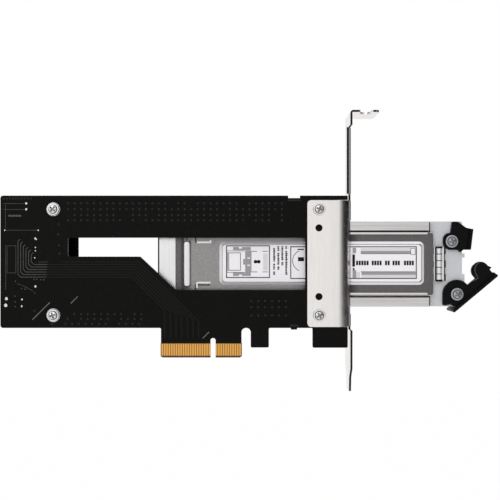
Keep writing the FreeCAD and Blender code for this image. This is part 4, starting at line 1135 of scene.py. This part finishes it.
class TRAYCARD_OT_label(TrayCardOperator, bpy.types.Operator):
    """Label of the cover with its plain printed marks"""
    bl_idname = "traycard.label"
    bl_label = "Cover Label"

    def execute(self, context):
        size = sizes()
        dress("cover_label", label_film(), size.print_rise * 3, 2)
        self.layer = 0
        line = size.line_width / MM
        self.print_marks("light_print", [(17.4, 19.4, 4.9, 12.1), (59.2, 80.5, 13.5, 14.5),
                                         (59.5, 82.7, 1.4, 2.8), (56.9, 58.9, 1.6, 4.2)], light_ink())
        self.print_marks("grey_print", [
            (4.5, 12.1, 13.5, 14.9), (9.7, 12.4, 3.9, 13.4), (4.5, 12.1, 2.5, 3.9), (8.8, 9.7, 7.4, 9.8),
            (1.85, 2.3, 4.5, 12.8), (59.2, 80.5, 12.1, 13.3), (59.5, 82.7, 2.9, 4.2),
            (55.7, 57.2, 12.2, 14.6), (55.7, 57.2, 1.6, 5.0)], grey_ink())
        self.print_marks("pale_print", [
            (7.0, 8.3, 14.2, 14.9), (7.0, 8.3, 2.5, 3.1), (10.6, 11.8, 9.9, 10.4), (10.6, 11.8, 6.8, 7.3),
            (80.6, 82.6, 11.7, 14.3), (57.4, 59.0, 12.0, 14.2)], label_film())
        lines = self.outline(1.5, 20.3, 1.6, 15.6, line) + self.outline(29.0, 83.2, 1.2, 15.2, line)
        lines += self.outline(2.5, 7.8, 4.8, 12.5, line * 0.6)
        lines += self.outline(80.5, 82.6, 11.6, 14.4, line * 0.5)
        lines += [(1.9, 9.4, 13.1, 13.3), (1.9, 9.4, 3.9, 4.1), (59.2, 80.5, 11.9, 12.1),
                  (59.2, 82.7, 4.2, 4.4)]
        lines += [(left, left + 2.3, up, up + 0.25) for left in (12.5, 17.1) for up in (12.9, 4.1)]
        self.print_marks("line_print", lines, line_ink())
        dark = [(14.0, 15.6, 8.15, 9.05), (32.3, 34.9, 8.8, 10.5), (32.1, 34.9, 13.6, 14.1),
                (55.6, 56.7, 6.5, 11.7), (55.8, 56.5, 5.0, 5.9)]
        draw = np.random.default_rng(size.seed)
        word = size.word_width / MM
        for column, foot in ((21.7, 2.8), (23.5, 4.6), (25.2, 6.4), (26.9, 3.0)):
            up = 15.2
            while up - 0.5 > foot:
                long = min(draw.uniform(0.35, 0.75), up - foot)
                if draw.random() < MARK_SHARE:
                    dark.append((column, column + word * draw.uniform(0.8, 1.1), up - long, up))
                up -= long + 0.18
        for left, right in ((57.2, 62.9), (63.9, 68.8), (69.6, 72.0), (72.8, 76.7), (77.7, 82.4)):
            strokes = np.arange(left, right - 0.7, 1.12)
            dark += [(stroke, stroke + 0.86, 7.1, 9.0) for stroke in strokes]
        self.print_marks("dark_print", dark, label_ink())
        self.arrow_ends(size)
        self.arc(size)
        return {"FINISHED"}

    def outline(self, left, right, low, high, line):
        """Four plates along the sides of a rectangle."""
        return [(left, right, low, low + line), (left, right, high - line, high),
                (left, left + line, low + line, high - line), (right - line, right, low + line, high - line)]

    def levels(self):
        """Front and back of the next layer of print: each lies on the one before."""
        self.layer += 1
        return LABEL_LOW.y - self.layer * sizes().print_rise, LABEL_LOW.y

    def print_marks(self, name, spans, material):
        """Plates given in millimetres from the label's lower left corner."""
        places = np.array(spans) * MM + np.repeat((LABEL_LOW.x, LABEL_LOW.z), 2)
        add_piece(name, plates(places, *self.levels()), material, "tray")

    def arrow_ends(self, size):
        """Two round ends of the short double arrow."""
        near, far = self.levels()
        centres = np.array([(14.1, 8.6), (15.5, 8.6)]) * MM + (LABEL_LOW.x, LABEL_LOW.z)
        radius = size.line_width * 1.8
        profile = [(radius * 0.1, far), (radius, far), (radius, near), (radius * 0.1, near)]
        shape = rings(centres, profile, POINT_SIDES)
        add_piece("arrow_ends", shape, label_ink(), "tray")

    def arc(self, size):
        """A thin arc: points on a circle between two angles, made a ribbon."""
        near, far = self.levels()
        angle, radius = np.linspace(2.0, 4.3, ARC_POINTS), 4.6 * MM
        centre = (34.6 * MM + LABEL_LOW.x, 9.0 * MM + LABEL_LOW.z)
        path = np.stack([centre[0] + radius * np.cos(angle), centre[1] + radius * np.sin(angle)], axis=1)
        shape = ribbon(path, size.line_width * 0.6, near, far)
        add_piece("arc_print", shape, line_ink(), "tray")


class TRAYCARD_OT_lever(TrayCardOperator, bpy.types.Operator):
    """Ejector lever"""
    bl_idname = "traycard.lever"
    bl_label = "Ejector Lever"

    def execute(self, context):
        size = sizes()
        dress("ejector_lever", lever_plastic(), size.moulded_edge, 3)
        self.rim(size)
        return {"FINISHED"}

    def rim(self, size):
        """Painted highlight round the lever's round end: a ribbon on part of a circle, then along the arm."""
        low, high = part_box("ejector_lever")
        angle = np.linspace(math.radians(112), math.radians(212), RIM_POINTS)
        knob = np.array([high.x - KNOB_INSET[0], high.z - KNOB_INSET[1]])
        arc = knob + KNOB_HIGHLIGHT_RADIUS * np.stack([np.cos(angle), np.sin(angle)], axis=1)
        path = np.vstack([arc, knob + np.array(ARM_POINTS)])
        shape = ribbon(path, size.line_width, low.y - size.print_rise * 2, low.y)
        body = frame["nodes"]["ejector_lever"]["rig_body"]
        # A painted highlight in the board's trace colour
        add_piece("lever_rim_highlight", shape, mask_edge(), body)


class TRAYCARD_OT_latch(TrayCardOperator, bpy.types.Operator):
    """Release latch and its spring"""
    bl_idname = "traycard.latch"
    bl_label = "Release Latch"

    def execute(self, context):
        dress("release_latch", lever_plastic(), sizes().moulded_edge, 3)
        repaint("latch_spring", screw_steel())
        return {"FINISHED"}


class TRAYCARD_OT_stage(TrayCardOperator, bpy.types.Operator):
    """Floor, soft light and camera"""
    bl_idname = "traycard.stage"
    bl_label = "Stage"

    def execute(self, context):
        scene = context.scene
        scene.view_settings.view_transform = "Standard"
        self.floor()
        self.world(scene)
        light = bpy.data.lights.new("softbox", "AREA")
        light.size = LAMP_SIZE
        light.energy = LAMP_POWER
        lamp = add_object("softbox", light)
        lamp.location = LAMP_PLACE
        aim = Vector(LAMP_AIM) - lamp.location
        lamp.rotation_euler = aim.to_track_quat("-Z", "Y").to_euler()
        lens = bpy.data.cameras.new("camera")
        lens.sensor_width = SENSOR_WIDTH
        lens.lens = FOCAL_LENGTH
        lens.clip_start = 0.01
        camera = add_object("camera", lens)
        camera.location = CAMERA_PLACE
        camera.rotation_euler = Euler((math.pi / 2, 0, 0))
        scene.camera = camera
        return {"FINISHED"}

    def floor(self):
        """A wide plain sheet below the card: one level over a square grid. It glows where it is seen."""
        across, along = np.meshgrid(np.linspace(-1, 1, 3), np.linspace(-1, 1, 3), indexing="ij")
        points = np.stack([across, along, np.full_like(across, FLOOR_LEVEL)], axis=-1).reshape(-1, 3)
        number = np.arange(9).reshape(3, 3)
        faces = np.stack([number[:-1, :-1], number[1:, :-1], number[1:, 1:], number[:-1, 1:]], axis=-1)
        mesh = bpy.data.meshes.new("floor")
        mesh.from_pydata(points.tolist(), [], faces.reshape(-1, 4).tolist())
        material = bpy.data.materials.new("floor_paper")
        material.use_nodes = True
        tree = material.node_tree
        feed(tree, shader_input(tree, "Base Color"), (FLOOR_TONE, FLOOR_TONE, FLOOR_TONE, 1))
        feed(tree, shader_input(tree, "Roughness"), 0.9)
        seen = add_node(tree, "LightPath").outputs["Is Camera Ray"]
        glow = add_node(tree, "Emission").outputs[0]
        mix = add_node(tree, "MixShader", {"Fac": maths(tree, "MULTIPLY", seen, FLOOR_SEEN),
                                           1: tree.nodes["Principled BSDF"].outputs[0], 2: glow})
        tree.links.new(mix.outputs[0], tree.nodes["Material Output"].inputs["Surface"])
        mesh.materials.append(material)
        add_object("floor", mesh)

    def world(self, scene):
        """White where it is seen. All other rays find a studio: its level depends on the angle round Z
        from the card's near side, and it eases to a bright ceiling and floor."""
        world = bpy.data.worlds.new("studio")
        world.use_nodes = True
        scene.world = world
        tree = world.node_tree
        ray = separate(tree, add_node(tree, "TexCoord").outputs["Generated"])
        angle = maths(tree, "ARCTAN2", ray["X"], maths(tree, "MULTIPLY", ray["Y"], -1.0))
        wall = add_node(tree, "ValToRGB", {"Fac": map_range(tree, angle, (-math.pi, math.pi))})
        stops = wall.color_ramp.elements
        stops[0].position, stops[0].color = 0.0, (1, 1, 1, 1)
        stops[1].position, stops[1].color = 1.0, (1, 1, 1, 1)
        for degrees, level in STUDIO_WALL:
            stops.new((degrees + 180) / 360).color = (level, level, level, 1)
        above = map_range(tree, maths(tree, "ABSOLUTE", ray["Z"]), CEILING_HEIGHTS,
                          interpolation_type="SMOOTHSTEP")
        studio = add_node(tree, "Mix", {"Factor": above, "A": wall.outputs["Color"], "B": CEILING_LEVEL})
        is_seen = add_node(tree, "LightPath").outputs["Is Camera Ray"]
        level = add_node(tree, "Mix", {"Factor": is_seen, "A": studio.outputs["Result"], "B": 1.0})
        background = tree.nodes["Background"].inputs
        feed(tree, background["Color"], (1, 1, 1, 1))
        feed(tree, background["Strength"], level.outputs["Result"])


OPERATORS = (
    TRAYCARD_OT_circuit_board, TRAYCARD_OT_edge_contacts, TRAYCARD_OT_slot_bracket, TRAYCARD_OT_guide,
    TRAYCARD_OT_drive_socket, TRAYCARD_OT_screws, TRAYCARD_OT_tray, TRAYCARD_OT_cover,
    TRAYCARD_OT_label, TRAYCARD_OT_lever, TRAYCARD_OT_latch, TRAYCARD_OT_stage)


class TRAYCARD_PT_finish(bpy.types.Panel):
    """The card's pieces, sizes and colours"""
    bl_idname = "TRAYCARD_PT_finish"
    bl_label = "Drive Tray Card"
    bl_space_type = "VIEW_3D"
    bl_region_type = "UI"
    bl_category = "Tray Card"

    def draw(self, context):
        for operator in OPERATORS:
            self.layout.operator(operator.bl_idname)
        for group in (context.scene.tray_card_sizes, context.scene.tray_card_colours):
            box = self.layout.box()
            for name in group.bl_rna.properties.keys():
                if name not in ("rna_type", "name"):
                    box.prop(group, name)


CLASSES = (TrayCardSizes, TrayCardColours, *OPERATORS, TRAYCARD_PT_finish)


def register():
    for kind in CLASSES:
        bpy.utils.register_class(kind)
    bpy.types.Scene.tray_card_sizes = PointerProperty(type=TrayCardSizes)
    bpy.types.Scene.tray_card_colours = PointerProperty(type=TrayCardColours)


def unregister():
    del bpy.types.Scene.tray_card_colours
    del bpy.types.Scene.tray_card_sizes
    for kind in reversed(CLASSES):
        bpy.utils.unregister_class(kind)


def main():
    register()
    for operator in OPERATORS:
        category, name = operator.bl_idname.split(".")
        getattr(getattr(bpy.ops, category), name)()


if __name__ == "__main__":
    main()
